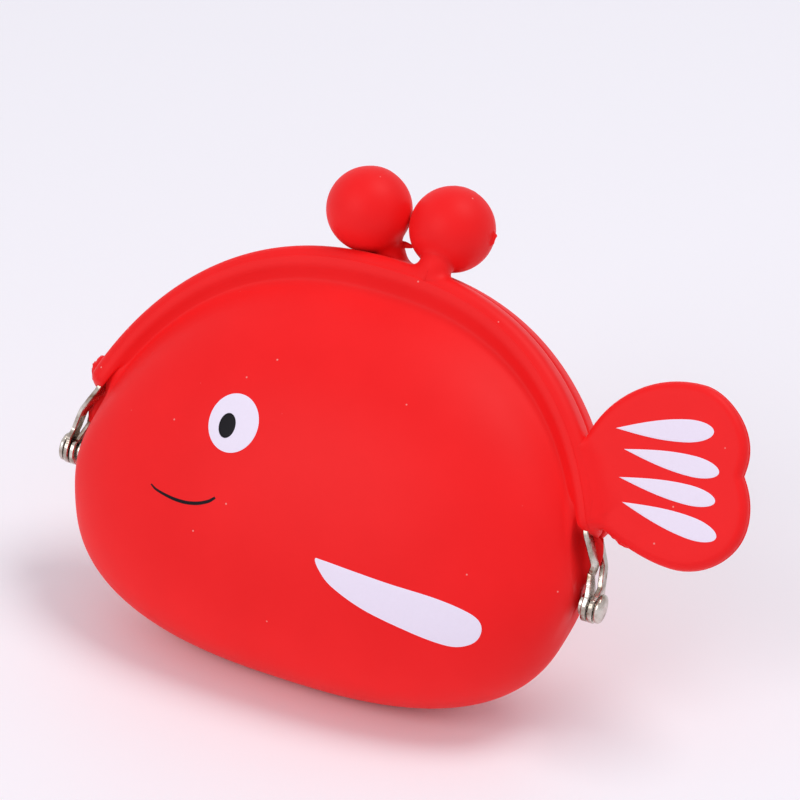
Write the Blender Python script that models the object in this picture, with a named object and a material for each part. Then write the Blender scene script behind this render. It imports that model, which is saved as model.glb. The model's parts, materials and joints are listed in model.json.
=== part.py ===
"""Fish-shaped silicone coin purse with a kiss lock.

One silicone moulding makes the belly, two rim sleeves, two ball covers and the tail.
Two sprung steel arches lie in the sleeves and are riveted together at both ends.
The rear arch, its sleeve and its ball swing back about the rivets, and the wall between bends.

The purse frame has its origin on the hinge line, midway between the rivets:
X runs along the hinge line towards the tail, -Y is the side that carries the face,
and Z is up in the plane of the arches.
The whole purse leans back about X and stands on a small flat under its belly, the world origin.
"""
import math

import bmesh
import bpy
from mathutils import Matrix, Vector

# Whole purse
LEAN = math.radians(28)          # the arches' plane leans back by this angle
GAP = 0.0003                     # clearance between pieces that touch
CUT_OVERRUN = 0.001              # how far a cutter runs past what it cuts
SILICONE_WALL = 0.002

# Arch, measured on the outside of the rim
ARCH_HALF_WIDTH = 0.0551
ARCH_TOP = 0.0485
ARCH_BASE = -0.0213              # level at which the arch's curve would be widest
ARCH_FULLNESS = 2.31             # 2 is an ellipse, more is squarer

# Rim sleeves
SLEEVE_HEIGHT = 0.0055
SLEEVE_DEPTH = 0.006
SLEEVE_END_LEVEL = 0.0122
SLEEVE_CREST_RADIUS = 0.0022
SLEEVE_LIP_RADIUS = 0.0008
SLEEVE_STATIONS = 34

# Belly
BELLY_INSET = 0.00853            # the belly's ends stand this far inside the arch's widest
BELLY_HALF_WIDTH = ARCH_HALF_WIDTH - BELLY_INSET
BELLY_HALF_DEPTH = 0.0190
BELLY_BOTTOM = -0.0282
BELLY_FULLNESS = 2.62            # of the outline from the front
BELLY_DEPTH_FULLNESS = 2.2       # of the outline from above
BELLY_SIDE_SWELL = 0.0026        # the ends swell out halfway down
BELLY_WIDEST_LEVEL = 0.0071
BELLY_END_LEVEL = 0.001          # level of the belly's two end points
MOUTH_SEAT_INSET = 0.0004        # the wall stands this far in from the sleeve's outer face
GROOVE_SHARE = 0.13              # the wall drops straight at first, which makes the groove
SHOULDER_SHARE = 0.70
CHEEK_SHARE = 0.577
KEEL_SHARE = 0.762
ROUND_END_SHARE = 0.55           # how full the closed ends are over their top
SLIT_END_SHARE = 0.93            # the mouth runs this far from the middle to each end point
WALL_END_SHARE = 0.90            # and the bending wall this far
REAR_SPLIT_LEVEL = 0.0090        # the rear wall bends above this level
REST_FLAT_DEPTH = 0.0008
HINGE_DENT_DEPTH = 0.0016
HINGE_DENT_HALF_WIDTH = 0.0034
HINGE_DENT_FADE_LEVEL = -0.010
FINE_STEP_SHARE = 0.0005         # step along the skin when its direction is measured
BELLY_COLUMNS = 30
BELLY_END_COLUMNS = 3
BELLY_UPPER_ROWS = 8
BELLY_LOWER_ROWS = 8

# Kiss lock balls on their necks
BALL_RADIUS = 0.0075
BALL_X = 0.00765                 # half the spacing along the rim: the balls pass side by side
BALL_Y = 0.0010                  # each ball leans past the mouth by this much
BALL_RISE = 0.0076               # from the top of the arch to the ball's centre
FRONT_KNOB_X = 0.0081            # the front ball stands over its knob
REAR_KNOB_X = 0.0028             # the rear one leans away from it
NECK_RADIUS = 0.0027
NECK_FLARE = 0.0007
NECK_FLARE_HEIGHT = 0.0014
NECK_FILLET = 0.0012             # where the neck runs into the ball
NECK_FILLET_STEPS = 3
BALL_SIDES = 24
BALL_RINGS = 10

# Knob posts inside the balls
POST_RADIUS = 0.0011
POST_HEAD_RADIUS = 0.0026
TENON_RADIUS = 0.0007
POST_SIDES = 14
POST_HEAD_RINGS = 6

# Steel arches with their legs and ears
STEEL_THICKNESS = 0.0009
STEEL_WIDTH = 0.0046
ARCH_STATIONS = 34
EAR_RADIUS = 0.0028
EAR_INSET = 0.00485              # the inner ear stands this far inside the arch's widest
EAR_INNER_X = ARCH_HALF_WIDTH - EAR_INSET
EAR_PITCH = 0.0012               # from the inner ear to the outer one
LEG_SETTLE_RISE = 0.0018         # the leg hangs straight from this far above its ear
LEG_MOUTH_GAP = 0.0004           # the leg's inner edge keeps this far from the mouth plane
LEG_WAIST_WIDTH = 0.0028
LEG_BEND_SHARE = 0.45
EAR_SHOULDER_SHARE = 0.55
LEG_STATIONS = 6
SHOULDER_STATIONS = 3
EAR_STATIONS = 9

# Rivets
RIVET_RADIUS = 0.0010
RIVET_HEAD_RADIUS = 0.0026
RIVET_HEAD_HEIGHT = 0.0011
RIVET_TAIL_RADIUS = 0.0019
RIVET_TAIL_HEIGHT = 0.0006
RIVET_SIDES = 20
RIVET_DOME_STEPS = 4

# Tail fin
TAIL_THICKNESS = 0.0040
TAIL_EDGE_RADIUS = 0.0016
TAIL_EDGE_SEGMENTS = 3
TAIL_SETBACK = 0.0014            # from the sleeve's front face to the fin's
TAIL_LENGTH = 0.0250
TAIL_HEIGHT = 0.0314
TAIL_BOTTOM = 0.0103
TAIL_ROOT_TOP = 0.0278           # the fin grows from the sleeve between these levels
TAIL_ROOT_BOTTOM = 0.0134
TAIL_CURVE_STEPS = 6
TAIL_ROOT_STEPS = 4

# Control points of the fin's outline as shares of its length and height, from its root's foot.
# Each row bends from the end of the row before: two handles, then the point it reaches.
TAIL_OUTLINE_SHARES = (
    ((-0.21, 0.77), (0.06, 1.00), (0.42, 1.00)),
    ((0.58, 1.00), (0.80, 0.87), (0.84, 0.70)),
    ((0.85, 0.65), (0.84, 0.61), (0.86, 0.56)),
    ((0.89, 0.51), (0.965, 0.44), (0.965, 0.32)),
    ((0.965, 0.14), (0.76, 0.00), (0.53, 0.00)),
)
TAIL_FOOT_SHARES = ((0.34, 0.00), (0.16, 0.05))

RED_SILICONE = (0.86, 0.028, 0.022, 1.0)
NICKEL_STEEL = (0.60, 0.57, 0.53, 1.0)


def clear_scene():
    for thing in list(bpy.data.objects):
        bpy.data.objects.remove(thing, do_unlink=True)


def make_material(name, colour, roughness, metallic):
    material = bpy.data.materials.new(name)
    material.use_nodes = True
    shader = material.node_tree.nodes["Principled BSDF"]
    shader.inputs["Base Color"].default_value = colour
    shader.inputs["Roughness"].default_value = roughness
    shader.inputs["Metallic"].default_value = metallic
    return material


def silicone(name):
    return make_material(name, RED_SILICONE, 0.45, 0.0)


def steel(name):
    return make_material(name, NICKEL_STEEL, 0.30, 1.0)


def make_empty(name, parent=None):
    empty = bpy.data.objects.new(name, None)
    bpy.context.scene.collection.objects.link(empty)
    empty.parent = parent
    return empty


def finish_mesh(bm, name, parent, material=None):
    """Turn a bmesh into a smooth shaded object that hangs on its parent."""
    bmesh.ops.recalc_face_normals(bm, faces=bm.faces)
    mesh = bpy.data.meshes.new(name)
    bm.to_mesh(mesh)
    bm.free()
    mesh.shade_smooth()
    mesh.set_sharp_from_angle(angle=math.radians(40))
    if material is not None:
        mesh.materials.append(material)
    thing = bpy.data.objects.new(name, mesh)
    bpy.context.scene.collection.objects.link(thing)
    thing.parent = parent
    return thing


def cut_with(thing, cutter):
    cutter.hide_render = True
    cutter.display_type = "WIRE"
    modifier = thing.modifiers.new("cut", "BOOLEAN")
    modifier.operation = "DIFFERENCE"
    modifier.object = cutter


def power(value, exponent):
    return math.copysign(abs(value) ** exponent, value)


def bezier(a, b, c, d, t):
    s = 1 - t
    return a * s ** 3 + b * 3 * s * s * t + c * 3 * s * t * t + d * t ** 3


def smooth(value):
    value = min(max(value, 0.0), 1.0)
    return value * value * (3 - 2 * value)


def blend(a, b, share):
    return a + (b - a) * share


def loft(bm, rings, close_ends=True):
    """Skin a row of closed rings that have the same number of points."""
    verts = [[bm.verts.new(point) for point in ring] for ring in rings]
    for lower, upper in zip(verts, verts[1:]):
        for index in range(len(lower)):
            after = (index + 1) % len(lower)
            bm.faces.new((lower[index], lower[after], upper[after], upper[index]))
    if close_ends:
        bm.faces.new(verts[0])
        bm.faces.new(verts[-1])
    return verts


def lathe(bm, foot, axis, profile, sides):
    """Turn (distance along the axis, radius) pairs. A profile that ends on the axis closes in a point."""
    axis = axis.normalized()
    across = axis.orthogonal().normalized()
    other = axis.cross(across)
    rings = []
    for distance, radius in profile:
        centre = foot + axis * distance
        if radius == 0:
            rings.append([bm.verts.new(centre)])
            continue
        ring = []
        for index in range(sides):
            turn = 2 * math.pi * index / sides
            ring.append(bm.verts.new(centre + (across * math.cos(turn) + other * math.sin(turn)) * radius))
        rings.append(ring)
    for lower, upper in zip(rings, rings[1:]):
        for index in range(sides):
            after = (index + 1) % sides
            if len(lower) == 1:
                bm.faces.new((lower[0], upper[after], upper[index]))
            elif len(upper) == 1:
                bm.faces.new((lower[index], lower[after], upper[0]))
            else:
                bm.faces.new((lower[index], lower[after], upper[after], upper[index]))
    for ring in (rings[0], rings[-1]):
        if len(ring) > 1:
            bm.faces.new(ring)


# The arch and what follows it

def arch_angle(level):
    """Angle, from the right-hand end, at which the arch passes a level."""
    rise = ARCH_TOP - ARCH_BASE
    return math.asin(((level - ARCH_BASE) / rise) ** (ARCH_FULLNESS / 2))


def arch_point(angle, inset=0.0):
    """Point of the arch in the X-Z plane, a distance inside the rim's outer line, and its outward direction."""
    half = ARCH_HALF_WIDTH
    rise = ARCH_TOP - ARCH_BASE
    x = half * power(math.cos(angle), 2 / ARCH_FULLNESS)
    z = rise * power(math.sin(angle), 2 / ARCH_FULLNESS)
    out = Vector((
        power(x / half, ARCH_FULLNESS - 1) / half,
        0.0,
        power(z / rise, ARCH_FULLNESS - 1) / rise,
    )).normalized()
    return Vector((x, 0.0, ARCH_BASE + z)) - out * inset, out


def arch_at_x(x, inset):
    """The arch's point above a place along the hinge line."""
    low, high = 0.0, math.pi / 2
    for _ in range(40):
        middle = (low + high) / 2
        if arch_point(middle, inset)[0].x > x:
            low = middle
        else:
            high = middle
    return arch_point(low, inset)[0]


def corner(centre, radius, start, steps):
    """Quarter circle of points, anticlockwise from a start angle in degrees."""
    points = []
    for step in range(steps + 1):
        turn = math.radians(start + 90 * step / steps)
        points.append((centre[0] + radius * math.cos(turn), centre[1] + radius * math.sin(turn)))
    return points


def sleeve_corners():
    """The four rounded corners of the sleeve's section, anticlockwise from the crest.

    A point is (distance back from the front face, distance outward), so the mouth is on the right."""
    crest, lip = SLEEVE_CREST_RADIUS, SLEEVE_LIP_RADIUS
    depth = SLEEVE_DEPTH - GAP / 2
    return [
        corner((crest, -crest), crest, 90, 3),
        corner((lip, lip - SLEEVE_HEIGHT), lip, 180, 2),
        corner((depth - lip, lip - SLEEVE_HEIGHT), lip, 270, 1),
        corner((depth - lip, -lip), lip, 0, 2),
    ]


def channel_profile():
    """The room that the steel strip has in the sleeve, with its corners in the same order."""
    middle = SLEEVE_DEPTH / 2
    half_width = STEEL_WIDTH / 2 + GAP
    half_height = STEEL_THICKNESS / 2 + GAP
    centre = -SLEEVE_HEIGHT / 2
    return [
        (middle - half_width, centre + half_height),
        (middle - half_width, centre - half_height),
        (middle + half_width, centre - half_height),
        (middle + half_width, centre + half_height),
    ]


def make_sleeve(name, parent, post_room):
    """Hollow rim that holds the steel, on the front side of the mouth plane."""
    end = arch_angle(SLEEVE_END_LEVEL)
    stations = []
    for index in range(SLEEVE_STATIONS + 1):
        stations.append(arch_point(blend(end, math.pi - end, index / SLEEVE_STATIONS)))

    def rings(profile):
        front = Vector((0.0, -SLEEVE_DEPTH, 0.0))
        back = Vector((0.0, 1.0, 0.0))
        return [[point + front + back * b + out * rise for b, rise in profile] for point, out in stations]

    corners = sleeve_corners()
    nearest = [number for number, points in enumerate(corners) for _ in points]
    bm = bmesh.new()
    outer = loft(bm, rings([point for points in corners for point in points]), False)
    inner = loft(bm, rings(channel_profile()), False)
    for end_index in (0, -1):
        ring, hole = outer[end_index], inner[end_index]
        for index, vert in enumerate(ring):
            after = (index + 1) % len(ring)
            face = [vert, ring[after], hole[nearest[after]]]
            if nearest[after] != nearest[index]:
                face.append(hole[nearest[index]])
            bm.faces.new(face)
    sleeve = finish_mesh(bm, name, parent, silicone(name))
    cut_with(sleeve, post_room)
    return sleeve


# Ball, neck and the post inside them

def strip_centre(knob_x):
    """Middle of the front steel strip under its ball."""
    point = arch_at_x(knob_x, SLEEVE_HEIGHT / 2)
    point.y = -SLEEVE_DEPTH / 2
    return point


def ball_centre():
    return Vector((BALL_X, BALL_Y, ARCH_TOP + BALL_RISE))


def post_head_profile(knob_x, clearance):
    """The post's round head, as distances from the strip's middle, each with its radius."""
    reach = (ball_centre() - strip_centre(knob_x)).length
    head = POST_HEAD_RADIUS + clearance
    start = math.asin((POST_RADIUS + clearance) / head)
    profile = []
    for step in range(POST_HEAD_RINGS + 1):
        turn = blend(start, math.pi, step / POST_HEAD_RINGS)
        ring = 0.0 if step == POST_HEAD_RINGS else head * math.sin(turn)
        profile.append((reach - head * math.cos(turn), ring))
    return profile


def make_post(name, parent, knob_x):
    """Steel knob whose tenon is riveted through the strip."""
    foot = strip_centre(knob_x)
    axis = ball_centre() - foot
    lean = math.hypot(axis.x, axis.y) / axis.length
    shoulder = (STEEL_THICKNESS / 2 + GAP + POST_RADIUS * lean) * axis.length / axis.z
    tenon_end = -STEEL_THICKNESS / 2
    profile = [(tenon_end, TENON_RADIUS), (shoulder, TENON_RADIUS), (shoulder, POST_RADIUS)]
    bm = bmesh.new()
    lathe(bm, foot, axis, profile + post_head_profile(knob_x, 0.0), POST_SIDES)
    return finish_mesh(bm, name, parent, steel(name))


def make_post_room(name, parent, knob_x):
    """Cutter for the silicone round the post."""
    foot = strip_centre(knob_x)
    profile = [(0.0, 0.0), (0.0, POST_RADIUS + GAP)] + post_head_profile(knob_x, GAP)
    bm = bmesh.new()
    lathe(bm, foot, ball_centre() - foot, profile, POST_SIDES)
    return finish_mesh(bm, name, parent)


def make_tenon_room(name, parent, knob_x):
    """Cutter for the strip's hole."""
    foot = strip_centre(knob_x)
    reach = STEEL_THICKNESS + CUT_OVERRUN
    profile = [(-reach, TENON_RADIUS + GAP), (reach, TENON_RADIUS + GAP)]
    bm = bmesh.new()
    lathe(bm, foot, ball_centre() - foot, profile, POST_SIDES)
    return finish_mesh(bm, name, parent)


def neck_fillet(reach):
    """Hollow curve that touches the neck and the ball, as distances from the strip and radii."""
    aside = NECK_RADIUS + NECK_FILLET
    below = math.sqrt((BALL_RADIUS + NECK_FILLET) ** 2 - aside ** 2)
    end = math.atan2(below, aside)
    points = []
    for step in range(NECK_FILLET_STEPS):
        turn = end * step / NECK_FILLET_STEPS
        points.append((reach - below + NECK_FILLET * math.sin(turn), aside - NECK_FILLET * math.cos(turn)))
    return points, math.atan2(aside, below)


def make_ball_cover(name, parent, knob_x, post_room):
    """Silicone ball and its neck, cut level where the neck grows from the sleeve."""
    foot = strip_centre(knob_x)
    axis = ball_centre() - foot
    reach = axis.length
    base = (ARCH_TOP + GAP - foot.z) * reach / axis.z
    fillet, start = neck_fillet(reach)
    flare_end = min(base + NECK_FLARE_HEIGHT, fillet[0][0])
    profile = [
        (0.0, NECK_RADIUS + NECK_FLARE),
        (base, NECK_RADIUS + NECK_FLARE),
        (blend(base, flare_end, 0.5), NECK_RADIUS + NECK_FLARE / 4),
    ] + fillet
    for step in range(BALL_RINGS + 1):
        turn = blend(start, math.pi, step / BALL_RINGS)
        ring = 0.0 if step == BALL_RINGS else BALL_RADIUS * math.sin(turn)
        profile.append((reach - BALL_RADIUS * math.cos(turn), ring))
    bm = bmesh.new()
    lathe(bm, foot, axis, profile, BALL_SIDES)
    everything = bm.verts[:] + bm.edges[:] + bm.faces[:]
    level = Vector((0.0, 0.0, ARCH_TOP + GAP))
    cut = bmesh.ops.bisect_plane(
        bm, geom=everything, plane_co=level, plane_no=(0.0, 0.0, -1.0), clear_outer=True)
    rim = [item for item in cut["geom_cut"] if isinstance(item, bmesh.types.BMEdge)]
    bmesh.ops.edgeloop_fill(bm, edges=rim)
    cover = finish_mesh(bm, name, parent, silicone(name))
    cut_with(cover, post_room)
    return cover


# Steel arch

def leg_sections(ear_x):
    """Sections of the right leg, from the sleeve's end to the foot of its ear.

    Each is a centre, an outward direction and the two Y places of the strip's edges."""
    angle = arch_angle(SLEEVE_END_LEVEL)
    start, out = arch_point(angle, SLEEVE_HEIGHT / 2)
    down = Vector((out.z, 0.0, -out.x))
    settle_level = EAR_RADIUS + LEG_SETTLE_RISE
    settle = Vector((ear_x, 0.0, settle_level))
    drop = (start.z - settle.z) * LEG_BEND_SHARE
    outer_edge = -(SLEEVE_DEPTH + STEEL_WIDTH) / 2
    inner_edge = -(SLEEVE_DEPTH - STEEL_WIDTH) / 2
    waist_inner = -LEG_MOUTH_GAP
    waist_outer = waist_inner - LEG_WAIST_WIDTH
    shoulder_level = EAR_RADIUS * EAR_SHOULDER_SHARE
    shoulder_half = math.sqrt(EAR_RADIUS ** 2 - shoulder_level ** 2)
    sections = []
    for step in range(1, LEG_STATIONS + 1):
        share = step / LEG_STATIONS
        centre = bezier(start, start + down * drop, settle + Vector((0.0, 0.0, drop)), settle, share)
        normal = blend(out, Vector((1.0, 0.0, 0.0)), smooth(share)).normalized()
        edges = (blend(outer_edge, waist_outer, share), blend(inner_edge, waist_inner, share))
        sections.append((centre, normal, edges))
    sideways = Vector((1.0, 0.0, 0.0))
    for step in range(1, SHOULDER_STATIONS + 1):
        share = step / SHOULDER_STATIONS
        level = blend(settle_level, shoulder_level, share)
        edges = (
            blend(waist_outer, -shoulder_half, smooth(share)),
            blend(waist_inner, shoulder_half, smooth(share)),
        )
        sections.append((Vector((ear_x, 0.0, level)), sideways, edges))
    start_turn = math.asin(EAR_SHOULDER_SHARE)
    for step in range(1, EAR_STATIONS):
        turn = blend(start_turn, -math.pi / 2, step / EAR_STATIONS)
        half = EAR_RADIUS * math.cos(turn)
        level = EAR_RADIUS * math.sin(turn)
        sections.append((Vector((ear_x, 0.0, level)), sideways, (-half, half)))
    return sections


def mirrored(section):
    centre, normal, edges = section
    flip = Vector((-1.0, 1.0, 1.0))
    return centre * flip, normal * flip, edges


def make_steel_arch(name, parent, rivet_room, tenon_room):
    """Strip bent to the arch. Its right ear lies inside and its left ear outside."""
    end = arch_angle(SLEEVE_END_LEVEL)
    right = leg_sections(EAR_INNER_X)
    left = [mirrored(section) for section in leg_sections(EAR_INNER_X + EAR_PITCH)]
    edges = (-(SLEEVE_DEPTH + STEEL_WIDTH) / 2, -(SLEEVE_DEPTH - STEEL_WIDTH) / 2)
    arch = []
    for index in range(ARCH_STATIONS + 1):
        point, out = arch_point(blend(end, math.pi - end, index / ARCH_STATIONS), SLEEVE_HEIGHT / 2)
        arch.append((point, out, edges))
    rings = []
    for centre, normal, (front, back) in list(reversed(right)) + arch + left:
        rise = normal * (STEEL_THICKNESS / 2)
        rings.append([
            centre + rise + Vector((0.0, front, 0.0)),
            centre - rise + Vector((0.0, front, 0.0)),
            centre - rise + Vector((0.0, back, 0.0)),
            centre + rise + Vector((0.0, back, 0.0)),
        ])
    bm = bmesh.new()
    loft(bm, rings)
    strip = finish_mesh(bm, name, parent, steel(name))
    cut_with(strip, rivet_room)
    cut_with(strip, tenon_room)
    return strip


def make_rivet_room(name, parent):
    """Cutter for the ears' holes."""
    reach = EAR_INNER_X + EAR_PITCH + STEEL_THICKNESS + CUT_OVERRUN
    profile = [(-reach, RIVET_RADIUS + GAP), (reach, RIVET_RADIUS + GAP)]
    bm = bmesh.new()
    lathe(bm, Vector(), Vector((1.0, 0.0, 0.0)), profile, RIVET_SIDES)
    return finish_mesh(bm, name, parent)


def make_rivet(name, parent, side):
    """Rivet with a domed head outside and an upset tail inside."""
    tail_face = EAR_INNER_X - STEEL_THICKNESS / 2 - GAP
    head_face = EAR_INNER_X + EAR_PITCH + STEEL_THICKNESS / 2 + GAP
    profile = [
        (tail_face - RIVET_TAIL_HEIGHT, RIVET_TAIL_RADIUS),
        (tail_face, RIVET_TAIL_RADIUS),
        (tail_face, RIVET_RADIUS),
        (head_face, RIVET_RADIUS),
        (head_face, RIVET_HEAD_RADIUS),
    ]
    for step in range(1, RIVET_DOME_STEPS + 1):
        turn = math.pi / 2 * step / RIVET_DOME_STEPS
        radius = 0.0 if step == RIVET_DOME_STEPS else RIVET_HEAD_RADIUS * math.cos(turn)
        profile.append((head_face + RIVET_HEAD_HEIGHT * math.sin(turn), radius))
    bm = bmesh.new()
    lathe(bm, Vector(), Vector((side, 0.0, 0.0)), profile, RIVET_SIDES)
    return finish_mesh(bm, name, parent, steel(name))


# Belly

def mouth_point(turn):
    """Upper edge of the belly's wall. Turn runs from -90 degrees at the left end to 90 at the right."""
    end = arch_angle(BELLY_END_LEVEL)
    reach = abs(turn) / (math.pi / 2)
    point, _ = arch_point(math.pi / 2 - turn * (1 - end / (math.pi / 2)), SLEEVE_HEIGHT + GAP)
    point.y = (SLEEVE_DEPTH - MOUTH_SEAT_INSET) * mouth_opening(reach)
    return point


def mouth_opening(reach):
    """1 where the wall hangs from the sleeve, falling to 0 where the front and rear walls meet."""
    end = arch_angle(BELLY_END_LEVEL)
    sleeve_end = 1 - (arch_angle(SLEEVE_END_LEVEL) - end) / (math.pi / 2 - end)
    return smooth((SLIT_END_SHARE - reach) / (SLIT_END_SHARE - sleeve_end))


def seam_point(turn):
    """Lower parting line of the belly."""
    x = BELLY_HALF_WIDTH * power(math.sin(turn), 2 / BELLY_FULLNESS)
    drop = BELLY_END_LEVEL - BELLY_BOTTOM
    return Vector((x, 0.0, BELLY_END_LEVEL - drop * math.cos(turn) ** (2 / BELLY_FULLNESS)))


def belly_section(turn, row):
    """Half width and level of the belly at a turn. Row 0 is the mouth, 1 the widest level, 2 the seam."""
    mouth = mouth_point(turn)
    seam = seam_point(turn)
    opening = mouth_opening(abs(turn) / (math.pi / 2))
    depth = max(BELLY_HALF_DEPTH * math.cos(turn) ** (2 / BELLY_DEPTH_FULLNESS), mouth.y)
    widest = blend(BELLY_END_LEVEL, BELLY_WIDEST_LEVEL, math.cos(turn))
    if row <= 1:
        height = mouth.z - widest
        handle = mouth.y + depth * ROUND_END_SHARE * (1 - opening)
        y = bezier(mouth.y, handle, depth, depth, row)
        z = bezier(
            mouth.z, mouth.z - height * GROOVE_SHARE * opening, widest + height * SHOULDER_SHARE, widest, row)
        return y, z
    fall = widest - seam.z
    y = bezier(depth, depth, depth * KEEL_SHARE, 0.0, row - 1)
    z = bezier(widest, widest - fall * CHEEK_SHARE, seam.z, seam.z, row - 1)
    return y, z


def world_up():
    return Vector((0.0, -math.sin(LEAN), math.cos(LEAN)))


def rest_point():
    """Centre of the flat that the purse stands on, under the belly's middle section."""
    steps = 400
    lowest = None
    for index in range(steps + 1):
        y, z = belly_section(0.0, 1 + index / steps)
        point = Vector((0.0, y, z))
        if lowest is None or point.dot(world_up()) < lowest.dot(world_up()):
            lowest = point
    return lowest + world_up() * REST_FLAT_DEPTH


def hinge_dent(point):
    """The two ends are hollowed between the front and rear walls, where the rivets sit."""
    across = math.exp(-(point.y / HINGE_DENT_HALF_WIDTH) ** 2)
    upward = smooth((point.z - HINGE_DENT_FADE_LEVEL) / (BELLY_END_LEVEL - HINGE_DENT_FADE_LEVEL))
    outward = smooth(2 * abs(point.x) / BELLY_HALF_WIDTH - 1)
    return point - Vector((math.copysign(HINGE_DENT_DEPTH * across * upward * outward, point.x), 0.0, 0.0))


def belly_point(turn, row, side, rest):
    """Outside of the belly: side is -1 in front and 1 behind."""
    mouth = mouth_point(turn)
    seam = seam_point(turn)
    y, z = belly_section(turn, row)
    share = (mouth.z - z) / (mouth.z - seam.z)
    swell = BELLY_SIDE_SWELL * 4 * share * (1 - share) * (seam.x / BELLY_HALF_WIDTH) ** 2
    x = blend(mouth.x, seam.x, share) + math.copysign(swell, turn)
    point = hinge_dent(Vector((x, side * y, z)))
    below = rest.dot(world_up()) - point.dot(world_up())
    if below > 0:
        point = point + world_up() * below
    return point


def row_at_level(turn, level):
    """Row of the upper wall that lies at a level."""
    low, high = 0.0, 1.0
    for _ in range(40):
        middle = (low + high) / 2
        if belly_section(turn, middle)[1] > level:
            low = middle
        else:
            high = middle
    return low


def belly_wall(turn, row, side, rest):
    """A point of the belly's outside and the point behind it on the wall's inside."""
    here = belly_point(turn, row, side, rest)
    along = belly_point(turn + FINE_STEP_SHARE, row, side, rest)
    along = along - belly_point(turn - FINE_STEP_SHARE, row, side, rest)
    down = belly_point(turn, min(row + FINE_STEP_SHARE, 2.0), side, rest)
    down = down - belly_point(turn, max(row - FINE_STEP_SHARE, 0.0), side, rest)
    inward = along.cross(down).normalized() * -side
    return here, here + inward * SILICONE_WALL


def add_inside(bm, inside):
    """Close an open skin with the inside points of its vertices and a rim round its open edges."""
    skin = list(bm.faces)
    open_edges = [edge for edge in bm.edges if edge.is_boundary]
    inner = {vert: bm.verts.new(inside[vert]) for vert in list(bm.verts)}
    for face in skin:
        bm.faces.new([inner[vert] for vert in reversed(face.verts)])
    for edge in open_edges:
        first, second = edge.verts
        bm.faces.new((first, second, inner[second], inner[first]))


def make_belly(name, parent, rest):
    """Front wall, floor and ends, with the rear wall up to where it starts to bend."""
    quarter = math.pi / 2
    bend_end = quarter * WALL_END_SHARE
    slit_end = quarter * SLIT_END_SHARE
    turns = [bend_end * (2 * index / BELLY_COLUMNS - 1) for index in range(BELLY_COLUMNS + 1)]
    ends = [blend(slit_end, quarter, index / BELLY_END_COLUMNS) for index in range(BELLY_END_COLUMNS)]
    turns = [-turn for turn in reversed(ends)] + turns + ends
    split = row_at_level(0.0, REAR_SPLIT_LEVEL)
    upper = [index / BELLY_UPPER_ROWS for index in range(BELLY_UPPER_ROWS)]
    lower = [1 + index / BELLY_LOWER_ROWS for index in range(BELLY_LOWER_ROWS + 1)]
    rear_upper = [split * index / BELLY_UPPER_ROWS for index in range(BELLY_UPPER_ROWS + 1)]
    around = [(row, -1) for row in upper + lower]
    around += [(row, 1) for row in reversed(lower[:-1])]
    around += [(row, 1) for row in reversed(rear_upper)]
    last = len(around) - 1
    bent_from = last - BELLY_UPPER_ROWS
    bm = bmesh.new()
    inside = {}

    def wall_vert(turn, row, side):
        outer_point, inner_point = belly_wall(turn, row, side, rest)
        vert = bm.verts.new(outer_point)
        inside[vert] = inner_point
        return vert

    grid = []
    for turn in turns:
        bends = abs(turn) < bend_end - FINE_STEP_SHARE
        closed = abs(turn) > slit_end - FINE_STEP_SHARE
        kept = around[:bent_from + 1] if bends else around[:-1]
        column = [wall_vert(turn, row, side) for row, side in kept]
        if not bends:
            column.append(column[0] if closed else wall_vert(turn, 0.0, 1))
        grid.append(column)
    for here, there in zip(grid, grid[1:]):
        for row in range(min(len(here), len(there)) - 1):
            bm.faces.new((here[row], here[row + 1], there[row + 1], there[row]))
    for column, sign in ((grid[0], -1), (grid[-1], 1)):
        point = hinge_dent(Vector((sign * BELLY_HALF_WIDTH, 0.0, BELLY_END_LEVEL)))
        tip = bm.verts.new(point)
        inside[tip] = point - Vector((sign * SILICONE_WALL, 0.0, 0.0))
        for row in range(last):
            bm.faces.new((tip, column[row], column[row + 1]))
    add_inside(bm, inside)
    return finish_mesh(bm, name, parent, silicone(name))


def make_rear_wall(name, parent, rest):
    """The part of the rear wall that bends as the mouth opens."""
    side_gap = GAP / BELLY_HALF_WIDTH
    reach = math.pi / 2 * WALL_END_SHARE - side_gap
    split = row_at_level(0.0, REAR_SPLIT_LEVEL)
    bm = bmesh.new()
    inside = {}
    grid = []
    for index in range(BELLY_COLUMNS + 1):
        turn = reach * (2 * index / BELLY_COLUMNS - 1)
        _, split_level = belly_section(turn, split)
        foot = row_at_level(turn, split_level + GAP)
        column = []
        for step in range(BELLY_UPPER_ROWS + 1):
            outer_point, inner_point = belly_wall(turn, foot * step / BELLY_UPPER_ROWS, 1, rest)
            vert = bm.verts.new(outer_point)
            inside[vert] = inner_point
            column.append(vert)
        grid.append(column)
    for here, there in zip(grid, grid[1:]):
        for row in range(BELLY_UPPER_ROWS):
            bm.faces.new((here[row], there[row], there[row + 1], here[row + 1]))
    add_inside(bm, inside)
    return finish_mesh(bm, name, parent, silicone(name))


# Tail fin

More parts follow.
